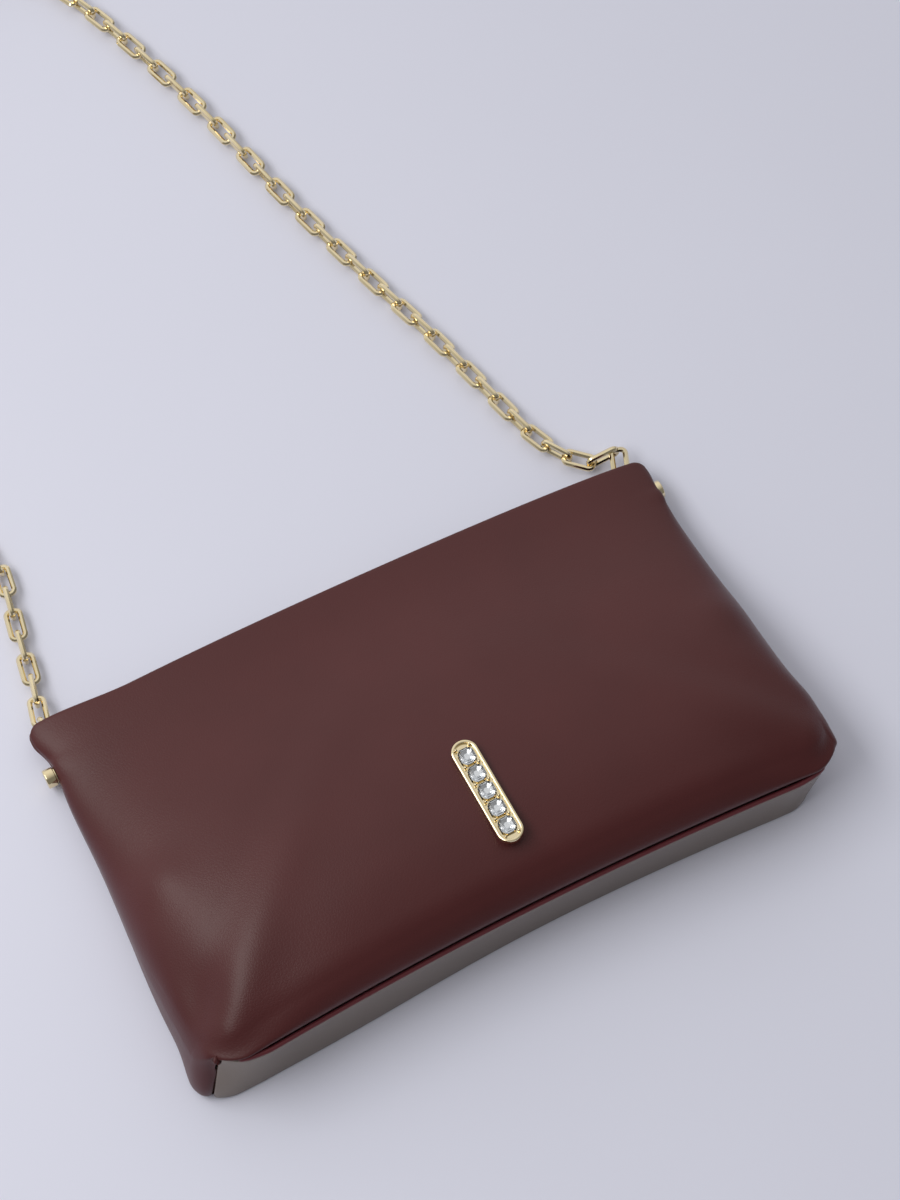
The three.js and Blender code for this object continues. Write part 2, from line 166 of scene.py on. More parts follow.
# Relief of the padded front: slow swells, and at each base corner a ridge with a hollow on both sides of it,
# as (rise, distance aside from the line at 45 degrees, reach)
SWELL = 0.3
SWELL_WAVE_X = 23
SWELL_PHASE_X = 0.8
SWELL_WAVE_Y = 19
SWELL_PHASE_Y = 0.3
SWELL_FADE_X = (70, 100)
SWELL_RAMP = (0, 0.25)
SWELL_FADE = (0.8, 1)
RIDGE_START = (107, -58)
RIDGE_RAMP = (-2, 8)
RIDGE_LENGTH = 30
RIDGE_SECTION = [(2.6, 3, 10), (-0.5, 24, 11), (-1, -14, 9)]
LEFT_HOLLOW = 2.6
HOLLOW_BELL_IN = (2, 10)
HOLLOW_BELL_Y = (-37, 17)
HOLLOW_RAMP_X = (60, 80)
HOLLOW_RAMP_Z = (3, 17)
MOUND = 1
MOUND_BELL_IN = (11, 8)
MOUND_BELL_Y = (-2, 8)
RELIEF_RAMP = (0, 0.1)

# Side studs and chain fittings
STUD_Y = 51
STUD_RADIUS = 3.1
STUD_LENGTH = 3.6
STUD_GAP = 0.1
PINCH_DEPTH = 1
PINCH_SPREAD = 8
SHANK_RADIUS = 1.25
SHANK_END = 0.4
EYE_X = 98.3
EYE_RADIUS = 2.4
EYE_WIRE = 0.7
LINK_LENGTH = 11.6
LINK_WIDTH = 6.2
LINK_CORNER = 1.5
LINK_LEAN = 15
WIRE = 1.7
WIRE_POWER = 5
LEAD_LINKS = 3
LINK_PITCH = 8.05
CHAIN_END = 1.5
CHAIN_TWIST = 22
TWIST_WAVE = 41

# Angle from which an edge of metal shows as a crease, in degrees
METAL_CREASE = 35
SETTING_CREASE = 40

# Chain route, from the right end link over the mouth, round its folds and back to the left end link
CHAIN_ROUTE = [
    (101.4, 63.6, 5.6), (102.4, 67, 6), (101, 69.8, 5.4), (97.4, 70.4, 4.4), (93.4, 71.8, 3.6),
    (89.8, 75.2, 3.4), (86.2, 80.2, 3.4), (83.2, 86.4, 3.4), (80.8, 94, 3.4), (75.4, 116, 3.4),
    (70, 137.5, 3.4), (61.8, 165.5, 3.4), (53.8, 195, 3.4), (47.6, 221, 3.4), (41.4, 248.5, 3.4),
    (33, 279, 3.4), (22.8, 309, 3.4), (12, 331, 3.4), (1, 341, 3.4), (-13, 341, 3.4),
    (-24, 331, 3.4), (-35, 306, 3.4), (-50, 269, 3.4), (-63, 240, 3.4), (-76, 227, 3.4),
    (-89, 227, 3.4), (-99, 237, 3.4), (-98, 255, 3.4), (-85, 284, 3.4), (-71, 316, 3.4),
    (-71, 335, 3.4), (-80, 344, 3.4), (-94, 344, 3.4), (-106, 331, 3.4), (-121, 299, 3.4),
    (-131, 269, 3.4), (-132, 239, 3.4), (-123, 207, 3.4), (-110, 173, 3.4), (-98, 143, 3.4),
    (-93, 125, 3.4), (-94.8, 111.6, 3.4), (-96.5, 101.8, 3.4), (-98, 92.8, 3.4), (-99.4, 84.5, 3.6),
    (-101, 77, 4.6), (-102.4, 70, 5.6), (-101.4, 63.6, 5.6),
]

# Front ornament
BAR_LENGTH = 37
BAR_WIDTH = 8.4
BAR_HEIGHT = 2.2
BAR_TOP = GAP + BAR_HEIGHT
BAR_RECESS = 0.95
BAR_X = 4.5
BAR_Y = -26
CROWN_Z = 30
BEAD_X = 2.25
BEAD_SINK = 0.05
CRYSTALS = 5
CRYSTAL_PITCH = 6.4
CRYSTAL_LENGTH = 5.4
CRYSTAL_WIDTH = 5
CRYSTAL_CUT = 0.55
CRYSTAL_SINK = 0.1

# Magnetic snap
SNAP_Y = 55.5
SNAP_RADIUS = 8.5
SNAP_WALL = SNAP_RADIUS - 0.6
SNAP_BORE = 2.9
MAGNET_RADIUS = 7.5
MAGNET_LIFT = 0.1
PLATE_RADIUS = 7.7
PLATE_THICKNESS = 1.5
SNAP_STUD_RADIUS = 2.2
SNAP_STUD_LENGTH = 1.6

# How the soft bag has settled on the floor, in the visual model only.
# The right edge's shifts are (out, y, reach)
LEAN = 3.2
LEAN_BELL_Y = (-62, 16)
TUCK_LEFT = 2.6
TUCK_LEFT_POWER = 3
TUCK_RIGHT = 6.2
TUCK_RIGHT_POWER = 8
TUCK_BELL_Y = (-62, 26)
CORNER_DRAW = 5.7
DRAW_RAMP_X = (95, 106)
DRAW_RAMP_Z = (3, 23)
DRAW_BELL_Y = (-62, 12)
FOOT_RAMP_X = (97, 104.5)
FOOT_ROLL = 3
ROLL_BELL_Y = (-63, 6)
FOOT_CURL = 1.8
CURL_BELL_Y = (-63, 10)
FOOT_SPREAD = 2
SPREAD_BELL_X = (-60, 48)
SPREAD_BELL_Y = (-62, 16)
RIGHT_EASE = 1.4
EASE_RAMP_X = (84, 108)
EASE_BELL_Y = (5, 38)
RIGHT_EDGE = [(0.3, -63, 3), (-1.5, -57, 6), (1.5, -40, 9)]
EDGE_RAMP_X = (94, 106)
EDGE_RAMP_Z = (8, 18)
STUD_COVER = 2.2
COVER_BELL_Y = (STUD_Y, 9)
COVER_RAMP_X = (96, 106)
COVER_RAMP_Z = (6.5, 10.5)
MOUTH_TILT = 2
TILT_RAMP_Y = (5, 55)
LEFT_PEAK = 2.6
PEAK_RAMP_X = (72, 106)
PEAK_RAMP_Y = (40, 62)

# Camera, in degrees and millimetres, for an image of 900 by 1200 pixels
CAMERA_AZIMUTH = -28
CAMERA_ELEVATION = 65.8
CAMERA_ROLL = 0.5
CAMERA_DISTANCE = 932
CAMERA_TARGET = (31.5, 49.7, 0)
CAMERA_LENS = 87
CAMERA_CLIP = 50
SENSOR_HEIGHT = 36

# Floor, window lamp, and the sky with the direction of its brightest part
FLOOR_HALF = 2500
WINDOW_PLACE = (-520, 300, 800)
WINDOW_AIM = (0, 300, 0)
WINDOW_WIDTH = 1000
WINDOW_HEIGHT = 400
WINDOW_WATTS = 4.5
WINDOW_SIDE = (-0.1, 0.85, 0.5)
SKY_DARK = 0.22
SKY_BRIGHT = 1.02


# Numbers and grids

def mix(start, end, share):
    """Start at share 0, end at share 1."""
    return start + (end - start) * share


def ramp(value, start, end):
    """0 up to start, 1 from end on, and straight between."""
    return np.clip((value - start) / (end - start), 0, 1)


def smooth(value, start, end):
    """0 up to start, 1 from end on, and an even S between."""
    share = ramp(value, start, end)
    return share * share * (3 - 2 * share)


def bell(value, middle, reach):
    """1 at the middle, falling to about a third at one reach from it."""
    return np.exp(-((value - middle) / reach) ** 2)


def spline(points, count):
    """A Catmull-Rom curve through the points, at count even steps of its parameter."""
    points = np.asarray(points, float)
    padded = np.concatenate([points[:1], points, points[-1:]])
    step = np.linspace(0, len(points) - 1, count)
    first = np.minimum(step.astype(int), len(points) - 2)
    t = (step - first)[:, None]
    p, q, r, s = (padded[first + k] for k in range(4))
    return 0.5 * (2 * q + (r - p) * t + (2 * p - 5 * q + 4 * r - s) * t**2 + (3 * q - p - 3 * r + s) * t**3)


def along_curve(curve, lengths):
    """Points and unit directions of a densely sampled curve at given lengths from its start."""
    steps = np.linalg.norm(np.diff(curve, axis=0), axis=1)
    reach = np.concatenate([[0], np.cumsum(steps)])
    slopes = np.gradient(curve, reach, axis=0)
    points = np.stack([np.interp(lengths, reach, column) for column in curve.T], -1)
    runs = np.stack([np.interp(lengths, reach, column) for column in slopes.T], -1)
    return points, unit(runs)


def curve_length(curve):
    """The sum of the steps between a curve's points."""
    return np.linalg.norm(np.diff(curve, axis=0), axis=1).sum()


def unit(vectors):
    """Vectors scaled to a length of 1."""
    return vectors / np.maximum(np.linalg.norm(vectors, axis=-1, keepdims=True), 1e-9)


def normals(grid):
    """Unit normals of a grid of points: across the columns times along the rows."""
    return unit(np.cross(np.gradient(grid, axis=1), np.gradient(grid, axis=0)))


def clustered(low, high, count):
    """Even steps that draw closer together towards both ends."""
    t = np.linspace(-1, 1, count)
    return mix(low, high, 0.5 + 0.5 * (0.45 * t + 0.55 * np.sin(np.pi * t / 2)))


def stretches(stops, counts):
    """Even steps from each stop to the next, as many as its count, and the last stop."""
    runs = zip(stops, stops[1:], counts)
    steps = [np.linspace(start, end, count, endpoint=False) for start, end, count in runs]
    return np.append(np.concatenate(steps), stops[-1])


def mirrored(half):
    """Numbers that rise from 0, with their mirror image before them."""
    return np.concatenate([-half[:0:-1], half])


def grid_of(x, y, z):
    """Points from three arrays that are spread over one grid."""
    return np.stack(np.broadcast_arrays(x, y, z), -1)


# Meshes

def quads(index, turned=False):
    """The faces between neighbouring rows and columns of a grid of vertex numbers."""
    corners = [index[:-1, :-1], index[:-1, 1:], index[1:, 1:], index[1:, :-1]]
    faces = np.stack(corners, -1).reshape(-1, 4)
    return faces[:, ::-1] if turned else faces


def grid_quads(rows, columns):
    """The faces of a grid with four open edges."""
    return quads(np.arange(rows * columns).reshape(rows, columns))


def ring_quads(rows, sides, closed=False):
    """The faces of rows of points that each run round as a ring. If closed, the last row meets the first."""
    index = np.arange(rows * sides).reshape(rows, sides)
    if closed:
        index = np.concatenate([index, index[:1]])
    return quads(np.concatenate([index, index[:, :1]], axis=1))


def repeated(faces, size, count):
    """The faces of count copies of a shape that has size points."""
    return (faces[None] + np.arange(count)[:, None, None] * size).reshape(-1, 4)


def make_piece(name, points, faces, materials, slots=None, sharp_angle=None):
    """A mesh piece from points in millimetres and quads. A closed shape that is inside out is turned."""
    points = np.asarray(points, float).reshape(-1, 3)
    a, b, c, d = (points[faces[:, k]] for k in range(4))
    volume = np.einsum("ij,ij->", a, np.cross(b, c)) + np.einsum("ij,ij->", a, np.cross(c, d))
    if volume < 0:
        faces = faces[:, ::-1]
    mesh = bpy.data.meshes.new(name)
    mesh.from_pydata((points * MM).tolist(), [], faces.tolist())
    mesh.polygons.foreach_set("use_smooth", np.ones(len(faces), bool))
    materials = materials if isinstance(materials, list) else [materials]
    for material in materials:
        mesh.materials.append(material)
    if slots is not None:
        mesh.polygons.foreach_set("material_index", slots)
    merge_doubles(mesh)
    if sharp_angle:
        mesh.set_sharp_from_angle(angle=math.radians(sharp_angle))
    piece = bpy.data.objects.new(name, mesh)
    bpy.context.scene.collection.objects.link(piece)
    return piece


def merge_doubles(mesh):
    """Joins vertices that share a place, so that poles and seams are closed."""
    work = bmesh.new()
    work.from_mesh(mesh)
    bmesh.ops.remove_doubles(work, verts=work.verts, dist=1e-6)
    bmesh.ops.dissolve_degenerate(work, edges=work.edges, dist=1e-7)
    work.to_mesh(mesh)
    work.free()


def rolled_edge(middle, half):
    """Adds rows past both ends of a sheet's grid, along a quarter round as thick as the sheet."""
    turns = np.radians([30, 60, 90])[:, None, None]
    reach = np.linalg.norm(half, axis=-1, keepdims=True)
    first = middle[:1] + unit(middle[:1] - middle[1:2]) * reach[:1] * np.sin(turns)
    last = middle[-1:] + unit(middle[-1:] - middle[-2:-1]) * reach[-1:] * np.sin(turns)
    middle = np.concatenate([first[::-1], middle, last])
    half = np.concatenate([half[:1] * np.cos(turns)[::-1], half, half[-1:] * np.cos(turns)])
    return middle, half


def sheet_arrays(outer, inner):
    """Points and faces of a closed sheet between two grids, with its four edges rolled round."""
    middle, half = rolled_edge((outer + inner) / 2, (outer - inner) / 2)
    middle, half = rolled_edge(middle.swapaxes(0, 1), half.swapaxes(0, 1))
    middle, half = middle.swapaxes(0, 1), half.swapaxes(0, 1)
    rows, columns = middle.shape[:2]
    index = np.arange(rows * columns).reshape(rows, columns)
    points = np.concatenate([(middle + half).reshape(-1, 3), (middle - half).reshape(-1, 3)])
    faces = np.concatenate([quads(index), quads(index + rows * columns, turned=True)])
    return points, faces


def sheet_piece(name, outer, inner, material):
    """A closed sheet between two grids, as a piece."""
    points, faces = sheet_arrays(outer, inner)
    return make_piece(name, points, faces, material)


def tube_arrays(path, radius, sides):
    """A round tube along a path that keeps near level, with a dome at each end."""
    run = unit(np.gradient(path, axis=0))
    side = unit(np.cross(run, (0, 0, 1)))
    over = np.cross(side, run)
    turn = np.linspace(0, 2 * np.pi, sides, endpoint=False)[None, :, None]
    ring = np.cos(turn) * side[:, None] + np.sin(turn) * over[:, None]
    dome = np.radians([90, 60, 30])[:, None, None]
    first = path[0] - radius * (run[0] * np.sin(dome) - ring[:1] * np.cos(dome))
    last = path[-1] + radius * (run[-1] * np.sin(dome[::-1]) + ring[-1:] * np.cos(dome[::-1]))
    grid = np.concatenate([first, path[:, None] + radius * ring, last])
    return grid.reshape(-1, 3), ring_quads(len(grid), sides)


def lathe_arrays(profile, sides, centre, axis):
    """A profile of (radius, height) points turned round an axis, 'x' or 'z', through centre."""
    profile = np.asarray(profile, float)
    turn = np.linspace(0, 2 * np.pi, sides, endpoint=False)[None, :]
    round_u = profile[:, :1] * np.cos(turn)
    round_v = profile[:, :1] * np.sin(turn)
    height = profile[:, 1:] + 0 * turn
    order = {"x": [height, round_u, round_v], "z": [round_u, round_v, height]}[axis]
    grid = np.stack(order, -1) + np.asarray(centre, float)
    return grid.reshape(-1, 3), ring_quads(len(grid), sides)


def joined(*parts):
    """One set of points and faces from several."""
    starts = np.cumsum([0] + [len(points) for points, faces in parts])
    points = np.concatenate([points for points, faces in parts])
    faces = np.concatenate([faces + start for (points, faces), start in zip(parts, starts)])
    return points, faces


def place(piece, body, slot, *nodes):
    """Puts a finished piece on its body and hides the solids that it stands for. The slot is not used."""
    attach(piece, body)
    if nodes:
        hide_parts(*nodes)
    return piece


# Materials

def linear(code):
    """A colour written as sRGB hex, such as 5a2b2e, as linear RGBA."""
    values = np.array([int(code[k:k + 2], 16) for k in (0, 2, 4)]) / 255
    values = np.where(values <= 0.04045, values / 12.92, ((values + 0.055) / 1.055) ** 2.4)
    return (*values.tolist(), 1.0)


def add_node(tree, kind, inputs=None, **settings):
    """Adds a node with its settings. An input is a value, or another node's output to link."""
    node = tree.nodes.new(kind)
    for name, value in settings.items():
        setattr(node, name, value)
    for name, value in (inputs or {}).items():
        if isinstance(value, bpy.types.NodeSocket):
            tree.links.new(value, node.inputs[name])
        else:
            node.inputs[name].default_value = value
    return node


def new_material(name):
    """An empty material, with its node tree and Object coordinates in metres."""
    material = bpy.data.materials.new(name)
    material.use_nodes = True
    tree = material.node_tree
    tree.nodes.clear()
    coordinates = add_node(tree, "ShaderNodeTexCoord").outputs["Object"]
    return material, tree, coordinates


def finished(material, inputs):
    """The material with one shader that has these inputs."""
    shader = add_node(material.node_tree, "ShaderNodeBsdfPrincipled", inputs)
    add_node(material.node_tree, "ShaderNodeOutputMaterial", {"Surface": shader.outputs["BSDF"]})
    return material


def per_metre(size):
    """The texture scale at which one cell or wave of the pattern is size millimetres."""
    return 1 / (size * MM)


def patchy(tree, at, size, low, high, detail=2.0):
    """A roughness between low and high, in soft patches of a size in millimetres."""
    noise = add_node(tree, "ShaderNodeTexNoise", {"Vector": at, "Scale": per_metre(size), "Detail": detail})
    level = add_node(tree, "ShaderNodeMapRange", {
        "Value": noise.outputs["Fac"], "To Min": low, "To Max": high})
    return level.outputs["Result"]


def oxblood_nappa(name, deep, light, smoothest, roughest, gloss, index=1.5, tint="ffffff"):
    """Smooth aniline-finished lambskin: a deep red-brown with a soft satin shine.
    The eye sees a broad sheen on the crown, fine creased grain where light grazes it,
    and faint clouding of the dye."""
    material, tree, at = new_material(name)
    cloud = add_node(tree, "ShaderNodeTexNoise", {"Vector": at, "Scale": per_metre(38), "Detail": 3.0})
    colour = add_node(tree, "ShaderNodeValToRGB", {"Fac": cloud.outputs["Fac"]})
    colour.color_ramp.elements[0].position = 0.3
    colour.color_ramp.elements[0].color = linear(deep)
    colour.color_ramp.elements[1].position = 0.7
    colour.color_ramp.elements[1].color = linear(light)
    rough = patchy(tree, at, 14, smoothest, roughest, 4.0)
    grain = add_node(
        tree, "ShaderNodeTexVoronoi", {"Vector": at, "Scale": per_metre(0.95)}, feature="DISTANCE_TO_EDGE")
    crease = add_node(tree, "ShaderNodeMapRange", {"Value": grain.outputs["Distance"], "From Max": 0.22})
    pores = add_node(tree, "ShaderNodeTexNoise", {"Vector": at, "Scale": per_metre(2.6), "Detail": 5.0})
    height = add_node(
        tree, "ShaderNodeMath", {0: crease.outputs["Result"], 1: pores.outputs["Fac"]}, operation="ADD")
    bump = add_node(
        tree, "ShaderNodeBump", {"Height": height.outputs[0], "Strength": 0.3, "Distance": 0.06 * MM})
    return finished(material, {
        "Base Color": colour.outputs["Color"], "Roughness": rough, "IOR": index,
        "Specular IOR Level": gloss, "Specular Tint": linear(tint), "Normal": bump.outputs["Normal"],
        "Sheen Weight": 0.04, "Sheen Roughness": 0.4})


def polished_gold_plate():
    """Pale gold plate on brass, tumbled and polished: mirror-like, with faint handling scratches."""
    material, tree, at = new_material("polished_gold_plate")
    wear = add_node(tree, "ShaderNodeTexNoise", {"Vector": at, "Scale": per_metre(3), "Detail": 6.0})
    rough = add_node(tree, "ShaderNodeMapRange", {
        "Value": wear.outputs["Fac"], "To Min": 0.06, "To Max": 0.14})
    tint = add_node(tree, "ShaderNodeTexNoise", {"Vector": at, "Scale": per_metre(9)})
    colour = add_node(tree, "ShaderNodeValToRGB", {"Fac": tint.outputs["Fac"]})
    colour.color_ramp.elements[0].color = linear("e8d5a8")
    colour.color_ramp.elements[1].color = linear("f4e7c6")
    bump = add_node(
        tree, "ShaderNodeBump", {"Height": wear.outputs["Fac"], "Strength": 0.08, "Distance": 0.03 * MM})
    return finished(material, {
        "Base Color": colour.outputs["Color"], "Roughness": rough.outputs["Result"], "Metallic": 1.0,
        "Normal": bump.outputs["Normal"]})


def clear_crystal():
    """Clear cut glass with a high index: bright steps in the crown, and deep sparkle from its foil back."""
    material, tree, at = new_material("clear_cut_crystal")
    haze = patchy(tree, at, 2, 0.0, 0.03)
    return finished(material, {
        "Base Color": linear("f6f8fb"), "Roughness": haze, "IOR": 1.62, "Transmission Weight": 1.0})


def silver_foil():
    """Vacuum-laid silver on the back of a stone: a bright mirror, a little uneven."""
    material, tree, at = new_material("silver_foil_back")
    uneven = patchy(tree, at, 1.2, 0.05, 0.14)
    return finished(material, {"Base Color": linear("eceef0"), "Roughness": uneven, "Metallic": 1.0})


def nickel_steel():
    """Nickel-plated steel washers and plates: a duller grey metal with a brushed look."""
    material, tree, at = new_material("nickel_plated_steel")
    stretch = add_node(tree, "ShaderNodeMapping", {"Vector": at, "Scale": (1, 14, 1)})
    brushed = patchy(tree, stretch.outputs["Vector"], 4, 0.28, 0.46)
    return finished(material, {"Base Color": linear("a9a9ab"), "Roughness": brushed, "Metallic": 1.0})


def twill_lining():
    """Woven cotton twill: diagonal ribs of matt thread, drawn at 1.1 mm so that they show in a render."""
    material, tree, at = new_material("woven_twill_lining")
    rib = add_node(
        tree, "ShaderNodeTexWave", {"Vector": at, "Scale": per_metre(1.1) / math.tau, "Distortion": 0.4},
        bands_direction="DIAGONAL")
    slub = add_node(tree, "ShaderNodeTexNoise", {"Vector": at, "Scale": per_metre(1.6), "Detail": 3.0})
    thread = add_node(
        tree, "ShaderNodeMath", {0: rib.outputs["Fac"], 1: slub.outputs["Fac"]}, operation="MULTIPLY")
    colour = add_node(tree, "ShaderNodeValToRGB", {"Fac": thread.outputs[0]})
    colour.color_ramp.elements[0].color = linear("8d7263")
    colour.color_ramp.elements[1].color = linear("b3957f")
    bump = add_node(
        tree, "ShaderNodeBump", {"Height": thread.outputs[0], "Strength": 0.35, "Distance": 0.15 * MM})
    return finished(material, {
        "Base Color": colour.outputs["Color"], "Roughness": 0.88, "Normal": bump.outputs["Normal"],
        "Sheen Weight": 0.15})


def sewing_thread():
    """Bonded polyester thread: two-ply, slightly glossy, a shade redder than the leather."""
    material, tree, at = new_material("bonded_polyester_thread")
    ply = add_node(tree, "ShaderNodeTexNoise", {"Vector": at, "Scale": per_metre(0.5)})
    colour = add_node(tree, "ShaderNodeValToRGB", {"Fac": ply.outputs["Fac"]})
    colour.color_ramp.elements[0].color = linear("5c2321")
    colour.color_ramp.elements[1].color = linear("73302c")
    return finished(material, {"Base Color": colour.outputs["Color"], "Roughness": 0.5})


def pale_floor():
    """Matt painted board in a cool pale grey, with the slightest unevenness."""
    material, tree, at = new_material("pale_painted_board")
    mottle = add_node(tree, "ShaderNodeTexNoise", {"Vector": at, "Scale": per_metre(160), "Detail": 4.0})
    colour = add_node(tree, "ShaderNodeValToRGB", {"Fac": mottle.outputs["Fac"]})
    colour.color_ramp.elements[0].color = linear("e2e4f5")
    colour.color_ramp.elements[1].color = linear("e6e8f9")
    return finished(material, {"Base Color": colour.outputs["Color"], "Roughness": 0.75})


leather = oxblood_nappa("oxblood_nappa_leather", "4c2021", "512324", 0.34, 0.43, 0.34)
# The base strip is the bag's oxblood leather with a glossier finish that really reflects; its olive-grey
# base colour is painted reflection of the pale floor.
strip_gloss_and_painted_reflection = oxblood_nappa("burnished_nappa_painted_reflection", "432f28", "47332c", 0.2, 0.28, 1.0, 1.85, "fff4e2")
# The pipings are welts of the bag's own leather; their lighter, pinker colour is a painted highlight along
# their lit tops.
piping_leather_painted_highlight = oxblood_nappa("piping_nappa_painted_highlight", "64282f", "6a2c33", 0.34, 0.43, 0.36)
gold = polished_gold_plate()
crystal = clear_crystal()
foil = silver_foil()
steel = nickel_steel()
lining = twill_lining()
thread = sewing_thread()


# The bag's outline

def half_width(y):
    """Half the bag's width at a height: narrowest at the waist, widest near the base, and rounded in
    as a quarter ellipse at the base corners."""
    turn = 1 - ramp(y, SEAM_Y, SEAM_Y + TAPER_LENGTH)
    return mix(BASE_HALF, WAIST_HALF, smooth(y, *WAIST_RAMP_Y)) - END_TAPER * (1 - np.sqrt(1 - turn**2))


def side_swell(y):
    """How far the very edge stands out of the half width: let out at the mouth, pinched in at the studs."""
    mouth = (MOUTH_HALF - WAIST_HALF) * smooth(y, *MOUTH_RAMP_Y)
    return mouth - PINCH_DEPTH * bell(y, STUD_Y, PINCH_SPREAD)


def side_line(y):
    """Height of the line where the front and back panels meet at the side: a straight rise from the base
    to just below the studs, and level from there."""
    return mix(SIDE_Z_BASE, SIDE_Z_MOUTH, ramp(y, SEAM_Y, SIDE_TOP_Y))


def side_slit(y, edge):
    """Half the slit between the panels: a closed seam, let out round the stud's shank at the very edge
    by a bell of the fourth power."""
    return SLIT + SHANK_ROOM * np.exp(-((y - STUD_Y) / SHANK_REACH) ** 4) * edge


def corner_pull(x, half, radius):
    """How far a rounded corner pulls an edge in at x."""
    past = np.clip(np.abs(x) - (half - radius), 0, radius)
    return radius - np.sqrt(radius**2 - past**2)


def mouth_edge(x):
    """The mouth's height at x: a shallow parabola with rounded corners."""
    return MOUTH_Y - MOUTH_BOW * (x / MOUTH_HALF) ** 2 - corner_pull(x, MOUTH_HALF, MOUTH_CORNER)


def base_line(x):
    """The base seam's height at x: a shallow parabola that bows into the bag."""
    return SEAM_Y + BASE_BOW * (1 - (x / BASE_HALF) ** 2)


def trimmed(x, y):
    """Fits a height counted on the straight outline between the base edge and the mouth edge."""
    share = (y - SEAM_Y) / (MOUTH_Y - SEAM_Y)
    inside = mix(base_line(x), mouth_edge(x), share)
    return np.where(share < 0, base_line(x) + y - SEAM_Y, inside)


profile_curve = spline(FRONT_PROFILE, 1200)
profile_length = curve_length(profile_curve)


def front_surface(a, b, depth=0.0):
    """The front panel at a across, -1 to 1, and b from the base seam, 0, to the mouth, 1, sunk by depth.
    Each cross-section is a superellipse from the side line up to the middle section, squarer towards
    the base and rounder at the left. It stands on a thin wall at each side, whose edge at the seam meets
    the end of the base strip."""
    a = np.asarray(a, float)[None, :]
    b = np.asarray(b, float)[:, None]
    middle, run = along_curve(profile_curve, b[:, 0] * profile_length)
    middle_y = (middle[:, 0] + depth * run[:, 1])[:, None]
    middle_z = (middle[:, 1] - depth * run[:, 0])[:, None]
    rounding = np.where(a < 0, LEFT_ROUNDING, 1)
    power = rounding * (SECTION_POWER + BASE_POWER * np.exp(-b / BASE_POWER_REACH))
    power = power + SEAM_POWER * np.exp(-b / SEAM_POWER_REACH)
    rounded = (1 - np.abs(a) ** power) ** (1 / power)
    rise = np.minimum(rounded, (1 - np.abs(a)) / WALL_SHARE)
    y = mix(mix(SEAM_Y + depth, MOUTH_Y, b), middle_y, rise)
    edge = np.abs(a) ** EDGE_POWER
    x = (half_width(y) - depth) * a + side_swell(y) * np.sign(a) * edge
    z = mix(side_line(y) + side_slit(y, edge), middle_z, rise)
    return settled(*pointed(x, trimmed(x, y), z))


def pointed(x, y, z):
    """Lets the front panel run out to a point at each base corner: what rises over the seam,
    or hangs over it, fades towards the corner as one less a falling exponential."""
    corner = BASE_HALF - END_TAPER
    away = np.hypot(np.abs(x) - corner, y - base_line(corner))
    fade = np.exp(-(away / CORNER_FADE) ** CORNER_FADE_POWER)
    over = CORNER_SOFTNESS * np.logaddexp(0, (z - SEAM_Z) / CORNER_SOFTNESS)
    ahead = np.minimum(y - base_line(x), 0)
    return x, y - ahead * fade, z - over * fade


def settled(x, y, z):
    """Points of the soft bag as it has settled: the shifts of its base, right side and mouth, added up."""
    base_x, base_y, base_z = base_shift(x, y, z)
    return grid_of(x + base_x + right_shift(x, y, z), y + base_y + mouth_shift(x, y), z + base_z)


def base_shift(x, y, z):
    """How the base has moved, along x, y and z: its top leans to the right and its foot to the left,
    its lower part is tucked in under the ends by a power of x, the seam is drawn in at both corners,
    the left part of the foot spreads, and the foot's ends are rolled up and in. Each is a bell along y."""
    out = np.abs(x)
    share = out / BASE_HALF
    low = 1 - smooth(z, 0, SEAM_Z)
    lean = LEAN * (1 - 2 * low) * bell(y, *LEAN_BELL_Y)
    tuck = np.where(x > 0, TUCK_RIGHT * share**TUCK_RIGHT_POWER, -TUCK_LEFT * share**TUCK_LEFT_POWER)
    tuck = tuck * low * bell(y, *TUCK_BELL_Y)
    draw = CORNER_DRAW * smooth(z, *DRAW_RAMP_Z) * ramp(out, *DRAW_RAMP_X) ** 2 * bell(y, *DRAW_BELL_Y)
    end = ramp(out, *FOOT_RAMP_X) ** 2
    roll = np.where(x > 0, FOOT_ROLL, FOOT_ROLL / 2) * low**2 * end * bell(y, *ROLL_BELL_Y)
    curl = FOOT_CURL * low * end * bell(y, *CURL_BELL_Y)
    spread = FOOT_SPREAD * low * bell(x, *SPREAD_BELL_X) * bell(y, *SPREAD_BELL_Y)
    return lean - tuck, draw + curl - spread, roll


def right_shift(x, y, z):
    """How far the right side has moved out: let out in a long bell, drawn in above its base corner
    by a sum of short ones, and hanging over its stud. Each sets in along x, the last two also along z."""
    ease = RIGHT_EASE * smooth(x, *EASE_RAMP_X) * bell(y, *EASE_BELL_Y)
    edge = sum(shift * bell(y, middle, reach) for shift, middle, reach in RIGHT_EDGE)
    edge = edge * smooth(x, *EDGE_RAMP_X) * smooth(z, *EDGE_RAMP_Z)
    cover = STUD_COVER * bell(y, *COVER_BELL_Y) * smooth(x, *COVER_RAMP_X) * smooth(z, *COVER_RAMP_Z)
    return ease + edge + cover


def mouth_shift(x, y):
    """How far the mouth has moved up: it lies askew, lower at the right, with a peak at its left end."""
    tilt = MOUTH_TILT * x / BASE_HALF * smooth(y, *TILT_RAMP_Y)
    return LEFT_PEAK * smooth(-x, *PEAK_RAMP_X) * smooth(y, *PEAK_RAMP_Y) - tilt


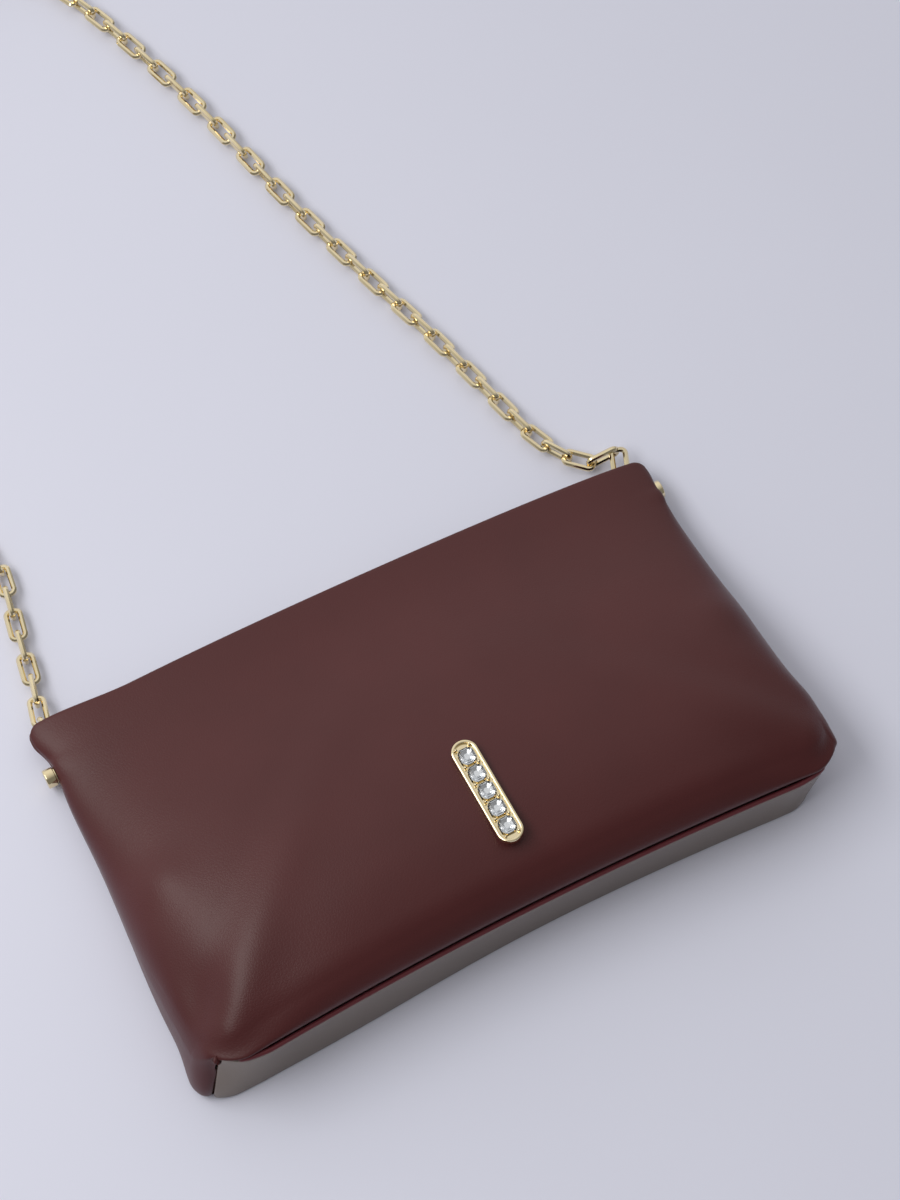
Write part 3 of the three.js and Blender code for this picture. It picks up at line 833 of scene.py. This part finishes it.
def back_surface(a, b, depth=0.0):
    """The back panel: flat on the ground, its sides rolled up as quarter ellipses to the side line."""
    a = np.asarray(a, float)[None, :]
    b = np.asarray(b, float)[:, None]
    y = mix(SEAM_Y, MOUTH_Y, b)
    edge = np.abs(a) ** EDGE_POWER
    under = UNDERCUT * (1 - smooth(y, *UNDERCUT_RAMP_Y))
    x = (half_width(y) - depth - under) * a + side_swell(y) * np.sign(a) * edge
    roll = ramp(np.abs(a), BACK_FLAT, 1)
    z = mix(depth, side_line(y) - side_slit(y, edge), 1 - np.sqrt(1 - roll**2))
    return settled(x, trimmed(x, y), z)


# Camera, light and floor

def direction(azimuth, elevation):
    """The unit vector from the target back to a viewer, with azimuth 0 looking along +Y."""
    azimuth, elevation = np.radians([azimuth, elevation])
    level = np.cos(elevation)
    return np.array([np.sin(azimuth) * level, -np.cos(azimuth) * level, np.sin(elevation)])


def make_camera():
    """The camera, back from its target along the viewing direction and rolled about it."""
    back = direction(CAMERA_AZIMUTH, CAMERA_ELEVATION)
    right = unit(np.cross((0, 0, 1), back))
    up = np.cross(back, right)
    roll = np.radians(CAMERA_ROLL)
    turned_right = right * np.cos(roll) + up * np.sin(roll)
    turned_up = up * np.cos(roll) - right * np.sin(roll)
    data = bpy.data.cameras.new("camera")
    data.sensor_fit = "VERTICAL"
    data.sensor_height = SENSOR_HEIGHT
    data.lens = CAMERA_LENS
    data.clip_start = CAMERA_CLIP * MM
    camera = bpy.data.objects.new("camera", data)
    pose = np.eye(4)
    pose[:3, :3] = np.stack([turned_right, turned_up, back], -1)
    pose[:3, 3] = (np.array(CAMERA_TARGET) + back * CAMERA_DISTANCE) * MM
    camera.matrix_world = Matrix(pose.tolist())
    bpy.context.scene.collection.objects.link(camera)
    bpy.context.scene.camera = camera


def make_light(name, place_mm, aim_mm, width_mm, height_mm, watts, colour):
    """A soft rectangular lamp at a place, turned to face its aim."""
    data = bpy.data.lights.new(name, "AREA")
    data.shape = "RECTANGLE"
    data.size = width_mm * MM
    data.size_y = height_mm * MM
    data.energy = watts
    data.color = linear(colour)[:3]
    lamp = bpy.data.objects.new(name, data)
    lamp.location = [value * MM for value in place_mm]
    aim = Vector(aim_mm) - Vector(place_mm)
    lamp.rotation_euler = aim.to_track_quat("-Z", "Y").to_euler()
    bpy.context.scene.collection.objects.link(lamp)


def make_world():
    """A studio sky that is brighter towards the window side. The camera itself sees a pale wall."""
    world = bpy.data.worlds.new("studio")
    world.use_nodes = True
    tree = world.node_tree
    tree.nodes.clear()
    ray = add_node(tree, "ShaderNodeTexCoord").outputs["Generated"]
    toward = add_node(tree, "ShaderNodeVectorMath", {0: ray, 1: WINDOW_SIDE}, operation="DOT_PRODUCT")
    level = add_node(tree, "ShaderNodeMapRange", {
        "Value": toward.outputs["Value"], "To Min": SKY_DARK, "To Max": SKY_BRIGHT})
    sky = add_node(tree, "ShaderNodeBackground", {
        "Color": linear("f4f3f1"), "Strength": level.outputs["Result"]})
    wall = add_node(tree, "ShaderNodeBackground", {"Color": linear("cdced9"), "Strength": 1.0})
    seen = add_node(tree, "ShaderNodeLightPath").outputs["Is Camera Ray"]
    both = add_node(tree, "ShaderNodeMixShader", {0: seen, 1: sky.outputs[0], 2: wall.outputs[0]})
    add_node(tree, "ShaderNodeOutputWorld", {"Surface": both.outputs[0]})
    bpy.context.scene.world = world


def make_stage():
    """The floor, the sky and the window lamp."""
    line = np.linspace(-FLOOR_HALF, FLOOR_HALF, 9)
    grid = grid_of(line[None, :], line[:, None], 0.0)
    floor = make_piece("floor", grid, grid_quads(9, 9), pale_floor())
    make_world()
    make_light("window", WINDOW_PLACE, WINDOW_AIM, WINDOW_WIDTH, WINDOW_HEIGHT, WINDOW_WATTS, "fffdf9")


# Leather and cloth pieces

def front_relief(b, points):
    """How far the padded front stands out of its plain form, in millimetres: slow swells of the filling,
    at each base corner a ridge that runs in at 45 degrees with a soft hollow on both sides of it,
    a hollow along the left side next to that ridge, and a low mound further up each side."""
    x, y, z = np.moveaxis(points, -1, 0)
    b = b[:, None]
    swell = SWELL * np.sin(x / SWELL_WAVE_X + SWELL_PHASE_X) * np.sin(y / SWELL_WAVE_Y + SWELL_PHASE_Y)
    swell = swell * smooth(b, *SWELL_RAMP) * (1 - smooth(b, *SWELL_FADE))
    swell = swell * (1 - smooth(np.abs(x), *SWELL_FADE_X))
    inward = RIDGE_START[0] - np.abs(x - LEAN)
    up = y - RIDGE_START[1]
    along = (inward + up) / 2
    aside = inward - up
    fade = smooth(along, *RIDGE_RAMP) * np.exp(-np.clip(along, 0, None) / RIDGE_LENGTH)
    ridge = sum(rise * bell(aside, middle, reach) for rise, middle, reach in RIDGE_SECTION) * fade
    hollow = LEFT_HOLLOW * bell(inward, *HOLLOW_BELL_IN) * bell(y, *HOLLOW_BELL_Y)
    hollow = hollow * smooth(-x, *HOLLOW_RAMP_X) * smooth(z, *HOLLOW_RAMP_Z)
    mound = MOUND * bell(inward, *MOUND_BELL_IN) * bell(y, *MOUND_BELL_Y)
    return swell + (ridge - hollow + mound) * smooth(b, *RELIEF_RAMP)


def make_front():
    """The front panel, on a grid that is finest at its seam, its shoulders and the walls at its sides."""
    a = mirrored(stretches((0, 0.88, 0.97, 1 - WALL_SHARE, 1), (59, 24, 18, 16)))
    b = stretches((0, 0.012, 0.1, 0.9, 1), (9, 24, 70, 15))
    plain = front_surface(a, b)
    outer = plain + normals(plain) * front_relief(b, plain)[..., None]
    inner = outer - normals(outer) * LEATHER
    front = sheet_piece("front_leather", outer, inner, leather)
    place(front, "front", "leather", "front_panel")


def make_front_layers():
    """The lining and the facing band inside the front panel, each at its own depth under the outer face."""
    a = clustered(-FRONT_LINING_ACROSS, FRONT_LINING_ACROSS, 91)
    b = clustered(*FRONT_LINING_UP, 61)
    depth = LEATHER + PADDING + 2 * GAP
    cloth = sheet_piece(
        "front_lining_cloth", front_surface(a, b, depth), front_surface(a, b, depth + LINING), lining)
    place(cloth, "front", "lining", "front_lining", "front_padding")

    a = clustered(-FRONT_FACING_ACROSS, FRONT_FACING_ACROSS, 91)
    b = clustered(*FRONT_FACING_UP, 15)
    depth = LEATHER + GAP
    band = sheet_piece(
        "front_facing_band", front_surface(a, b, depth), front_surface(a, b, depth + FACING), leather)
    place(band, "front", "leather", "front_facing")


def make_back():
    """The back panel, on a grid that is finest where its sides roll up."""
    a = mirrored(stretches((0, BACK_FLAT, 1), (30, 12)))
    b = clustered(0, 1, 81)
    outer = back_surface(a, b)
    inner = back_surface(a, b, LEATHER)
    place(sheet_piece("back_leather", outer, inner, leather), "back", "leather", "back_panel")


def layer(name, half_length, ends_y, low_z, thickness, material):
    """A flat sheet on the back panel, with its underside at low_z, rolled edges and a faint drape
    of two crossed sine waves."""
    x = np.linspace(-half_length + thickness / 2, half_length - thickness / 2, 61)[None, :]
    y = np.linspace(ends_y[0] + thickness / 2, ends_y[1] - thickness / 2, 31)[:, None]
    drape = DRAPE * np.sin(x / DRAPE_WAVE_X) * np.sin(y / DRAPE_WAVE_Y)
    grid = grid_of(x, y, low_z + drape)
    return sheet_piece(name, grid + (0, 0, thickness), grid, material)


def make_back_layers():
    """The lining, the slip pocket and the facing band on the back panel."""
    cloth = layer("back_lining_cloth", BACK_LINING_HALF, BACK_LINING_Y, BACK_LINING_Z, LINING, lining)
    place(cloth, "back", "lining", "back_lining", "back_interlining")
    pocket_z = BACK_LINING_Z + LINING + GAP
    pocket = layer("slip_pocket_cloth", POCKET_HALF, POCKET_Y, pocket_z, LINING, lining)
    place(pocket, "back", "lining", "slip_pocket")
    band = layer("back_facing_band", BACK_FACING_HALF, BACK_FACING_Y, LEATHER + GAP, FACING, leather)
    place(band, "back", "leather", "back_facing")


def base_sink(x):
    """How far the base strip comes in towards its ends, to lie flush with the front panel's sides."""
    return (GAP + LEATHER) * smooth(np.abs(x), *SINK_RAMP_X)


def make_base_strip():
    """The base strip, which bows in with the seam, is a little hollow between its edges along a sine wave,
    and ends upright at the corners."""
    across = clustered(-1, 1, 91)[None, :]
    up = np.linspace(0, 1, 15)[:, None]
    z = mix(STRIP_FOOT, STRIP_TOP + CORNER_RISE * smooth(np.abs(across), *CORNER_RISE_RAMP), up)
    x = across * mix(STRIP_FOOT_HALF, STRIP_TOP_HALF, up)
    y = base_line(x) + STRIP_HOLLOW * np.sin(np.pi * up) + base_sink(x) * mix(FOOT_SINK, 1, up)
    outer = settled(x, y - GAP - LEATHER, z)
    inner = settled(x, y - GAP, z)
    base = sheet_piece("base_leather", outer, inner, strip_gloss_and_painted_reflection)
    place(base, "back", "leather", "base_panel")


def make_pipings():
    """A covered cord along the front seam of the base strip and one along its back seam."""
    x = np.linspace(-PIPING_HALF, PIPING_HALF, 105)
    for name, offset, z in [
        ("base_piping_front", GAP + PIPING_RADIUS, STRIP_TOP + PIPING_LIFT + PIPING_RADIUS),
        ("base_piping_back", -BACK_PIPING_INSET, PIPING_RADIUS + BACK_PIPING_LIFT),
    ]:
        path = settled(x, base_line(x) - offset + base_sink(x), np.full_like(x, z))
        points, faces = tube_arrays(path, PIPING_RADIUS, 12)
        place(make_piece(name + "_welt", points, faces, piping_leather_painted_highlight), "back", "leather", name)


def make_base_board():
    """The flat board that stiffens the base, covered in lining."""
    x = np.linspace(-BOARD_HALF, BOARD_HALF, 41)[None, :]
    z = np.linspace(*BOARD_Z, 9)[:, None]
    grid = grid_of(x, BOARD_Y, z)
    board = sheet_piece("base_board_cover", grid, grid - (0, BOARD_THICKNESS, 0), lining)
    place(board, "back", "board", "base_board")


def make_gusset(side, sign):
    """A leather bellows in the side: a flat V on its side that reaches into the bag, held by both panels.
    It is deepest at half its height, along half a sine wave, and its section is a power curve."""
    y = clustered(*GUSSET_Y, 41)[:, None]
    share = np.linspace(-1, 1, 25)[None, :]
    depth = GUSSET_DEPTH + GUSSET_SWELL * np.sin(np.pi * ramp(y, *GUSSET_RAMP_Y))
    inset = depth * (1 - np.abs(share) ** GUSSET_FOLD_POWER)
    lift = np.sign(share) * np.abs(share) ** GUSSET_LIFT_POWER
    x = half_width(y) - GUSSET_INSET - inset
    z = side_line(y) + GUSSET_HALF * lift
    piece = make_piece(f"gusset_{side}_bellows", settled(sign * x, y, z), grid_quads(41, 25), leather)
    thick = piece.modifiers.new("thickness", "SOLIDIFY")
    thick.thickness = GUSSET_LEATHER * MM
    thick.offset = 0
    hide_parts(f"gusset_{side}")
    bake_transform(piece)


def make_stitches():
    """Lockstitch rows inside the mouth and round the slip pocket: short thread capsules with a small gap,
    each an ellipse turned round its length."""
    band_z = LEATHER + GAP + FACING + THREAD_LIFT
    pocket_z = BACK_LINING_Z + LINING + GAP + LINING + THREAD_LIFT
    rows = [(BAND_ROW_HALF, BAND_ROW_Y, band_z)] + [(POCKET_ROW_HALF, y, pocket_z) for y in POCKET_ROWS_Y]
    centres = np.concatenate([
        grid_of(np.arange(-half, half + 1, STITCH_PITCH), y, z) for half, y, z in rows])
    turn = np.linspace(0, 2 * np.pi, 6, endpoint=False)[None, :]
    sweep = np.linspace(-1, 1, 5)[:, None]
    girth = THREAD_RADIUS * np.sqrt(1 - sweep**2)
    capsule = grid_of(STITCH_LENGTH / 2 * sweep, girth * np.cos(turn), girth * np.sin(turn))
    points = (centres[:, None, None] + capsule[None]).reshape(-1, 3)
    faces = repeated(ring_quads(5, 6), 5 * 6, len(centres))
    place(make_piece("inside_stitches", points, faces, thread), "back", "lining")


# Metal fittings

def link_arrays(centres, runs, widths):
    """Chain links of square wire with softened edges, bent to a long rectangle with rounded corners:
    a superellipse carried round four quarter circles, with straight wire between.
    Each link lies along its run and its width direction."""
    straight = (LINK_LENGTH - WIRE) / 2 - LINK_CORNER
    aside = (LINK_WIDTH - WIRE) / 2 - LINK_CORNER
    turn = np.radians(np.linspace(0, 90, 5)[None, :] + np.arange(4)[:, None] * 90).reshape(-1, 1)
    core_along = np.repeat([1, -1, -1, 1], 5)[:, None] * straight
    core_across = np.repeat([1, 1, -1, -1], 5)[:, None] * aside
    section = np.linspace(0, 2 * np.pi, 8, endpoint=False) + np.pi / 8
    cosine = np.cos(section)
    sine = np.sin(section)
    squared = (np.abs(cosine) ** WIRE_POWER + np.abs(sine) ** WIRE_POWER) ** (-1 / WIRE_POWER)
    out = squared * cosine * WIRE / 2
    along = core_along + (LINK_CORNER + out) * np.cos(turn)
    across = core_across + (LINK_CORNER + out) * np.sin(turn)
    rise = squared * sine * WIRE / 2 + 0 * along
    axes = [axis[:, None, None] for axis in (runs, widths, np.cross(runs, widths))]
    local = [size[None, ..., None] for size in (along, across, rise)]
    points = centres[:, None, None] + sum(size * axis for size, axis in zip(local, axes))
    faces = ring_quads(*along.shape, closed=True)
    return points.reshape(-1, 3), repeated(faces, along.size, len(centres))


def make_chain():
    """Links at even steps along the route, each turned a quarter against the last, with a slow twist."""
    curve = spline(CHAIN_ROUTE, 6000)
    length = curve_length(curve)
    count = int(round((length - 2 * CHAIN_END) / LINK_PITCH)) + 1
    lengths = np.linspace(CHAIN_END, length - CHAIN_END, count)
    centres, runs = along_curve(curve, lengths)
    twist = np.radians(CHAIN_TWIST) * np.sin(np.pi * lengths / length) * np.sin(lengths / TWIST_WAVE)
    turn = np.pi / 2 * (np.arange(count) % 2) + twist
    side = unit(np.cross((0, 0, 1), runs))
    over = np.cross(runs, side)
    widths = side * np.cos(turn)[:, None] + over * np.sin(turn)[:, None]

    def links(chosen):
        """Points and faces of a run of links."""
        return link_arrays(centres[chosen], runs[chosen], widths[chosen])

    for body, chosen in [
        ("link_right", slice(0, LEAD_LINKS)),
        ("link_left", slice(count - LEAD_LINKS, count)),
    ]:
        points, faces = links(chosen)
        lead = make_piece("chain_lead_" + body.split("_")[1], points, faces, gold, sharp_angle=METAL_CREASE)
        order = slice(None, None, 1 if body == "link_right" else -1)
        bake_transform(lead)
    main = slice(LEAD_LINKS, count - LEAD_LINKS)
    points, faces = links(main)
    chain = make_piece("chain_links", points, faces, gold, sharp_angle=METAL_CREASE)
    place(chain, "back", "chain", "chain_strap")


def stud_place():
    """The stud's distance from the middle of the bag, just clear of its side, and its height."""
    return half_width(STUD_Y) + side_swell(STUD_Y) + STUD_GAP, side_line(STUD_Y)


def make_stud(side, sign):
    """A turned stud head on the side, with rounded edges and a slightly dished end."""
    stud_x, stud_z = stud_place()
    profile = np.array([
        (0, 0), (2.6, 0), (2.6, 0.3), (2.9, 0.36), (3.05, 0.5), (STUD_RADIUS, 0.7), (STUD_RADIUS, 3.2),
        (3.04, 3.42), (2.9, 3.54), (2.7, STUD_LENGTH), (2, STUD_LENGTH), (1.2, 3.56), (0.6, 3.53), (0, 3.52),
    ])
    points, faces = lathe_arrays(profile * (1, sign), 40, (sign * stud_x, STUD_Y, stud_z), "x")
    stud = make_piece(f"stud_{side}", points, faces, gold, sharp_angle=METAL_CREASE)
    place(stud, "back", "gold_fittings", f"stud_head_{side}")


def make_eye_bolt(side, sign):
    """A round shank through the side, and a level ring of round wire at its inner end."""
    stud_x, stud_z = stud_place()
    inner = EYE_X + EYE_RADIUS
    outer = stud_x - SHANK_END
    shank = np.array([
        (0, inner), (SHANK_RADIUS - 0.1, inner + 0.05), (SHANK_RADIUS, inner + 0.2), (SHANK_RADIUS, outer),
        (0, outer),
    ])
    rod = lathe_arrays(shank * (1, sign), 20, (0, STUD_Y, stud_z), "x")
    turn = np.linspace(0, 2 * np.pi, 28, endpoint=False)[:, None]
    ring = np.linspace(0, 2 * np.pi, 12, endpoint=False)[None, :]
    reach = EYE_RADIUS + EYE_WIRE * np.cos(ring)
    eye = grid_of(
        sign * EYE_X + reach * np.cos(turn), STUD_Y + reach * np.sin(turn), stud_z + EYE_WIRE * np.sin(ring))
    points, faces = joined(rod, (eye.reshape(-1, 3), ring_quads(28, 12, closed=True)))
    bolt = make_piece(f"eye_{side}", points, faces, gold)
    place(bolt, "back", "gold_fittings", f"eye_bolt_{side}")


def make_first_link(side, sign):
    """The chain's first long link, standing on edge in the eye and leaning outwards."""
    lean = np.radians(LINK_LEAN)
    run = np.array([[sign * np.sin(lean), np.cos(lean), 0]])
    pivot = np.array([[sign * EYE_X, STUD_Y + EYE_RADIUS - EYE_WIRE - WIRE / 2, stud_place()[1]]])
    points, faces = link_arrays(pivot + run * (LINK_LENGTH - WIRE) / 2, run, np.array([[0, 0, 1]]))
    link = make_piece(f"first_link_{side}", points, faces, gold, sharp_angle=METAL_CREASE)
    place(link, f"link_{side}", "chain", f"end_link_{side}")


def make_snap():
    """Magnetic snap: a cup with a ring magnet on the back facing, and a plate with a stud
    on the front facing. Each is a profile turned round an upright axis."""
    low = LEATHER + FACING + 2 * GAP
    high = FRONT_PROFILE[-1][1] - LEATHER - FACING - 2 * GAP
    cup = [
        (SNAP_WALL, 0), (SNAP_RADIUS - 0.2, 0), (SNAP_RADIUS, 0.2), (SNAP_RADIUS, 2.3),
        (SNAP_RADIUS - 0.2, 2.7), (SNAP_WALL, 3), (SNAP_BORE + 0.2, 3), (SNAP_BORE, 2.8), (SNAP_BORE, 2.4),
        (SNAP_WALL, 2.4), (SNAP_WALL, 0),
    ]
    ring = [
        (SNAP_BORE, 0), (MAGNET_RADIUS - 0.2, 0), (MAGNET_RADIUS, 0.2), (MAGNET_RADIUS, 1.8),
        (MAGNET_RADIUS - 0.2, 2), (SNAP_BORE + 0.2, 2), (SNAP_BORE, 1.8), (SNAP_BORE, 0),
    ]
    plate = [
        (0, -SNAP_STUD_LENGTH), (SNAP_STUD_RADIUS - 0.4, -SNAP_STUD_LENGTH),
        (SNAP_STUD_RADIUS, 0.4 - SNAP_STUD_LENGTH), (SNAP_STUD_RADIUS, -0.1), (SNAP_STUD_RADIUS + 0.2, 0),
        (PLATE_RADIUS - 0.3, 0), (PLATE_RADIUS, 0.3), (PLATE_RADIUS, PLATE_THICKNESS), (0, PLATE_THICKNESS),
    ]
    for name, profile, height, material, body, slot, node in [
        ("snap_cup", cup, low, gold, "back", "gold_fittings", "snap_socket"),
        ("snap_ring_magnet", ring, low + MAGNET_LIFT, steel, "back", "steel", "snap_magnet"),
        ("snap_plate", plate, high - PLATE_THICKNESS, gold, "front", "gold_fittings", "snap_stud"),
    ]:
        points, faces = lathe_arrays(profile, 48, (0, SNAP_Y, height), "z")
        place(make_piece(name, points, faces, material, sharp_angle=METAL_CREASE), body, slot, node)


# Ornament, in a frame of its own: across the bar, along it, and up from the front panel

crystal_places = (np.arange(CRYSTALS) - (CRYSTALS - 1) / 2) * CRYSTAL_PITCH


def on_front(points):
    """Points of the ornament's frame in the bag's, with its origin on the front panel's outer face."""
    crown = profile_curve[profile_curve[:, 1] > CROWN_Z]
    nearest = np.argmin(np.abs(crown[:, 0] - BAR_Y))
    run = unit(np.gradient(crown, axis=0))[nearest]
    along = np.array([0, run[0], run[1]])
    axes = np.stack([(1, 0, 0), along, np.cross((1, 0, 0), along)])
    return np.array([BAR_X, *crown[nearest]]) + np.asarray(points, float).reshape(-1, 3) @ axes


def make_setting():
    """A slim bar with round ends and a raised rim, its outline carried round two half circles with
    straight stretches between, and a bead at each corner of the crystals."""
    radius = BAR_WIDTH / 2
    bed = BAR_TOP - BAR_RECESS
    outline = np.array([
        (-radius, GAP), (-0.4, GAP), (-0.1, GAP + 0.12), (0, GAP + 0.4), (0, BAR_TOP - 0.5),
        (-0.12, BAR_TOP - 0.16), (-0.4, BAR_TOP), (-0.75, BAR_TOP), (-0.95, BAR_TOP - 0.12),
        (-1.02, BAR_TOP - 0.4), (-1.02, bed), (-radius, bed),
    ])
    half_turn = np.linspace(0, 180, 25)
    turn = np.radians(np.concatenate([half_turn, half_turn + 180]))
    end = np.repeat([1, -1], 25) * (BAR_LENGTH / 2 - radius)
    reach = radius + outline[:, :1]
    grid = grid_of(reach * np.cos(turn), end + reach * np.sin(turn), outline[:, 1:])
    bar = (grid.reshape(-1, 3), ring_quads(len(outline), len(turn)))

    ends = crystal_places[[0, -1]] + np.array([-0.5, 0.5]) * CRYSTAL_PITCH
    between = np.linspace(*ends, CRYSTALS + 1)
    bead = [(0.5, -0.9), (0.5, 0), (0.43, 0.25), (0.25, 0.43), (0, 0.5)]
    spots = [(x, y, BAR_TOP - BEAD_SINK) for y in between for x in (-BEAD_X, BEAD_X)]
    beads = [lathe_arrays(bead, 10, spot, "z") for spot in spots]
    points, faces = joined(bar, *beads)
    piece = make_piece("ornament_setting", on_front(points), faces, gold, sharp_angle=SETTING_CREASE)
    place(piece, "front", "gold_fittings", "ornament_bar")


def make_crystals():
    """Step-cut stones: an oblong with cut corners, scaled at each level and closed to its middle
    at both ends. The rows below the girdle have the foil."""
    levels = np.array([(0.35, -0.75), (0.75, -0.45), (1, 0), (1, 0.2), (0.84, 0.55), (0.62, 0.75)])
    corner = np.array([(1, -CRYSTAL_CUT), (1, CRYSTAL_CUT), (CRYSTAL_CUT, 1), (-CRYSTAL_CUT, 1)])
    ring = np.concatenate([corner, -corner]) * (CRYSTAL_WIDTH / 2, CRYSTAL_LENGTH / 2)
    shape = grid_of(levels[:, :1] * ring[:, 0], levels[:, :1] * ring[:, 1], levels[:, 1:])
    shape = np.concatenate([shape[:1] * (0, 0, 1), shape, shape[-1:] * (0, 0, 1)])
    rows, sides = shape.shape[:2]
    material_of_face = np.repeat([1, 1, 1, 0, 0, 0, 0], sides)
    for number, y in enumerate(crystal_places, 1):
        stone = on_front(shape + (0, y, BAR_TOP - CRYSTAL_SINK))
        cut = make_piece(
            f"cut_crystal_{number}", stone, ring_quads(rows, sides), [crystal, foil], slots=material_of_face)
        cut.data.polygons.foreach_set("use_smooth", np.zeros(len(cut.data.polygons), bool))
        place(cut, "front", "crystal", f"crystal_{number}")


make_camera()
make_stage()
make_chain()
make_front()
make_front_layers()
make_back()
make_back_layers()
make_base_strip()
make_pipings()
make_base_board()
make_snap()
make_setting()
make_crystals()
make_stitches()
for side, sign in [("left", -1), ("right", 1)]:
    make_gusset(side, sign)
    make_stud(side, sign)
    make_eye_bolt(side, sign)
    make_first_link(side, sign)

for node, material in [
    ("washer_left", steel), ("washer_right", steel), ("ornament_backing", steel),
    ("ornament_rivet_1", gold), ("ornament_rivet_2", gold),
]:
    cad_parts[node].data.materials.clear()
    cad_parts[node].data.materials.append(material)

bpy.context.scene.view_settings.view_transform = "Standard"
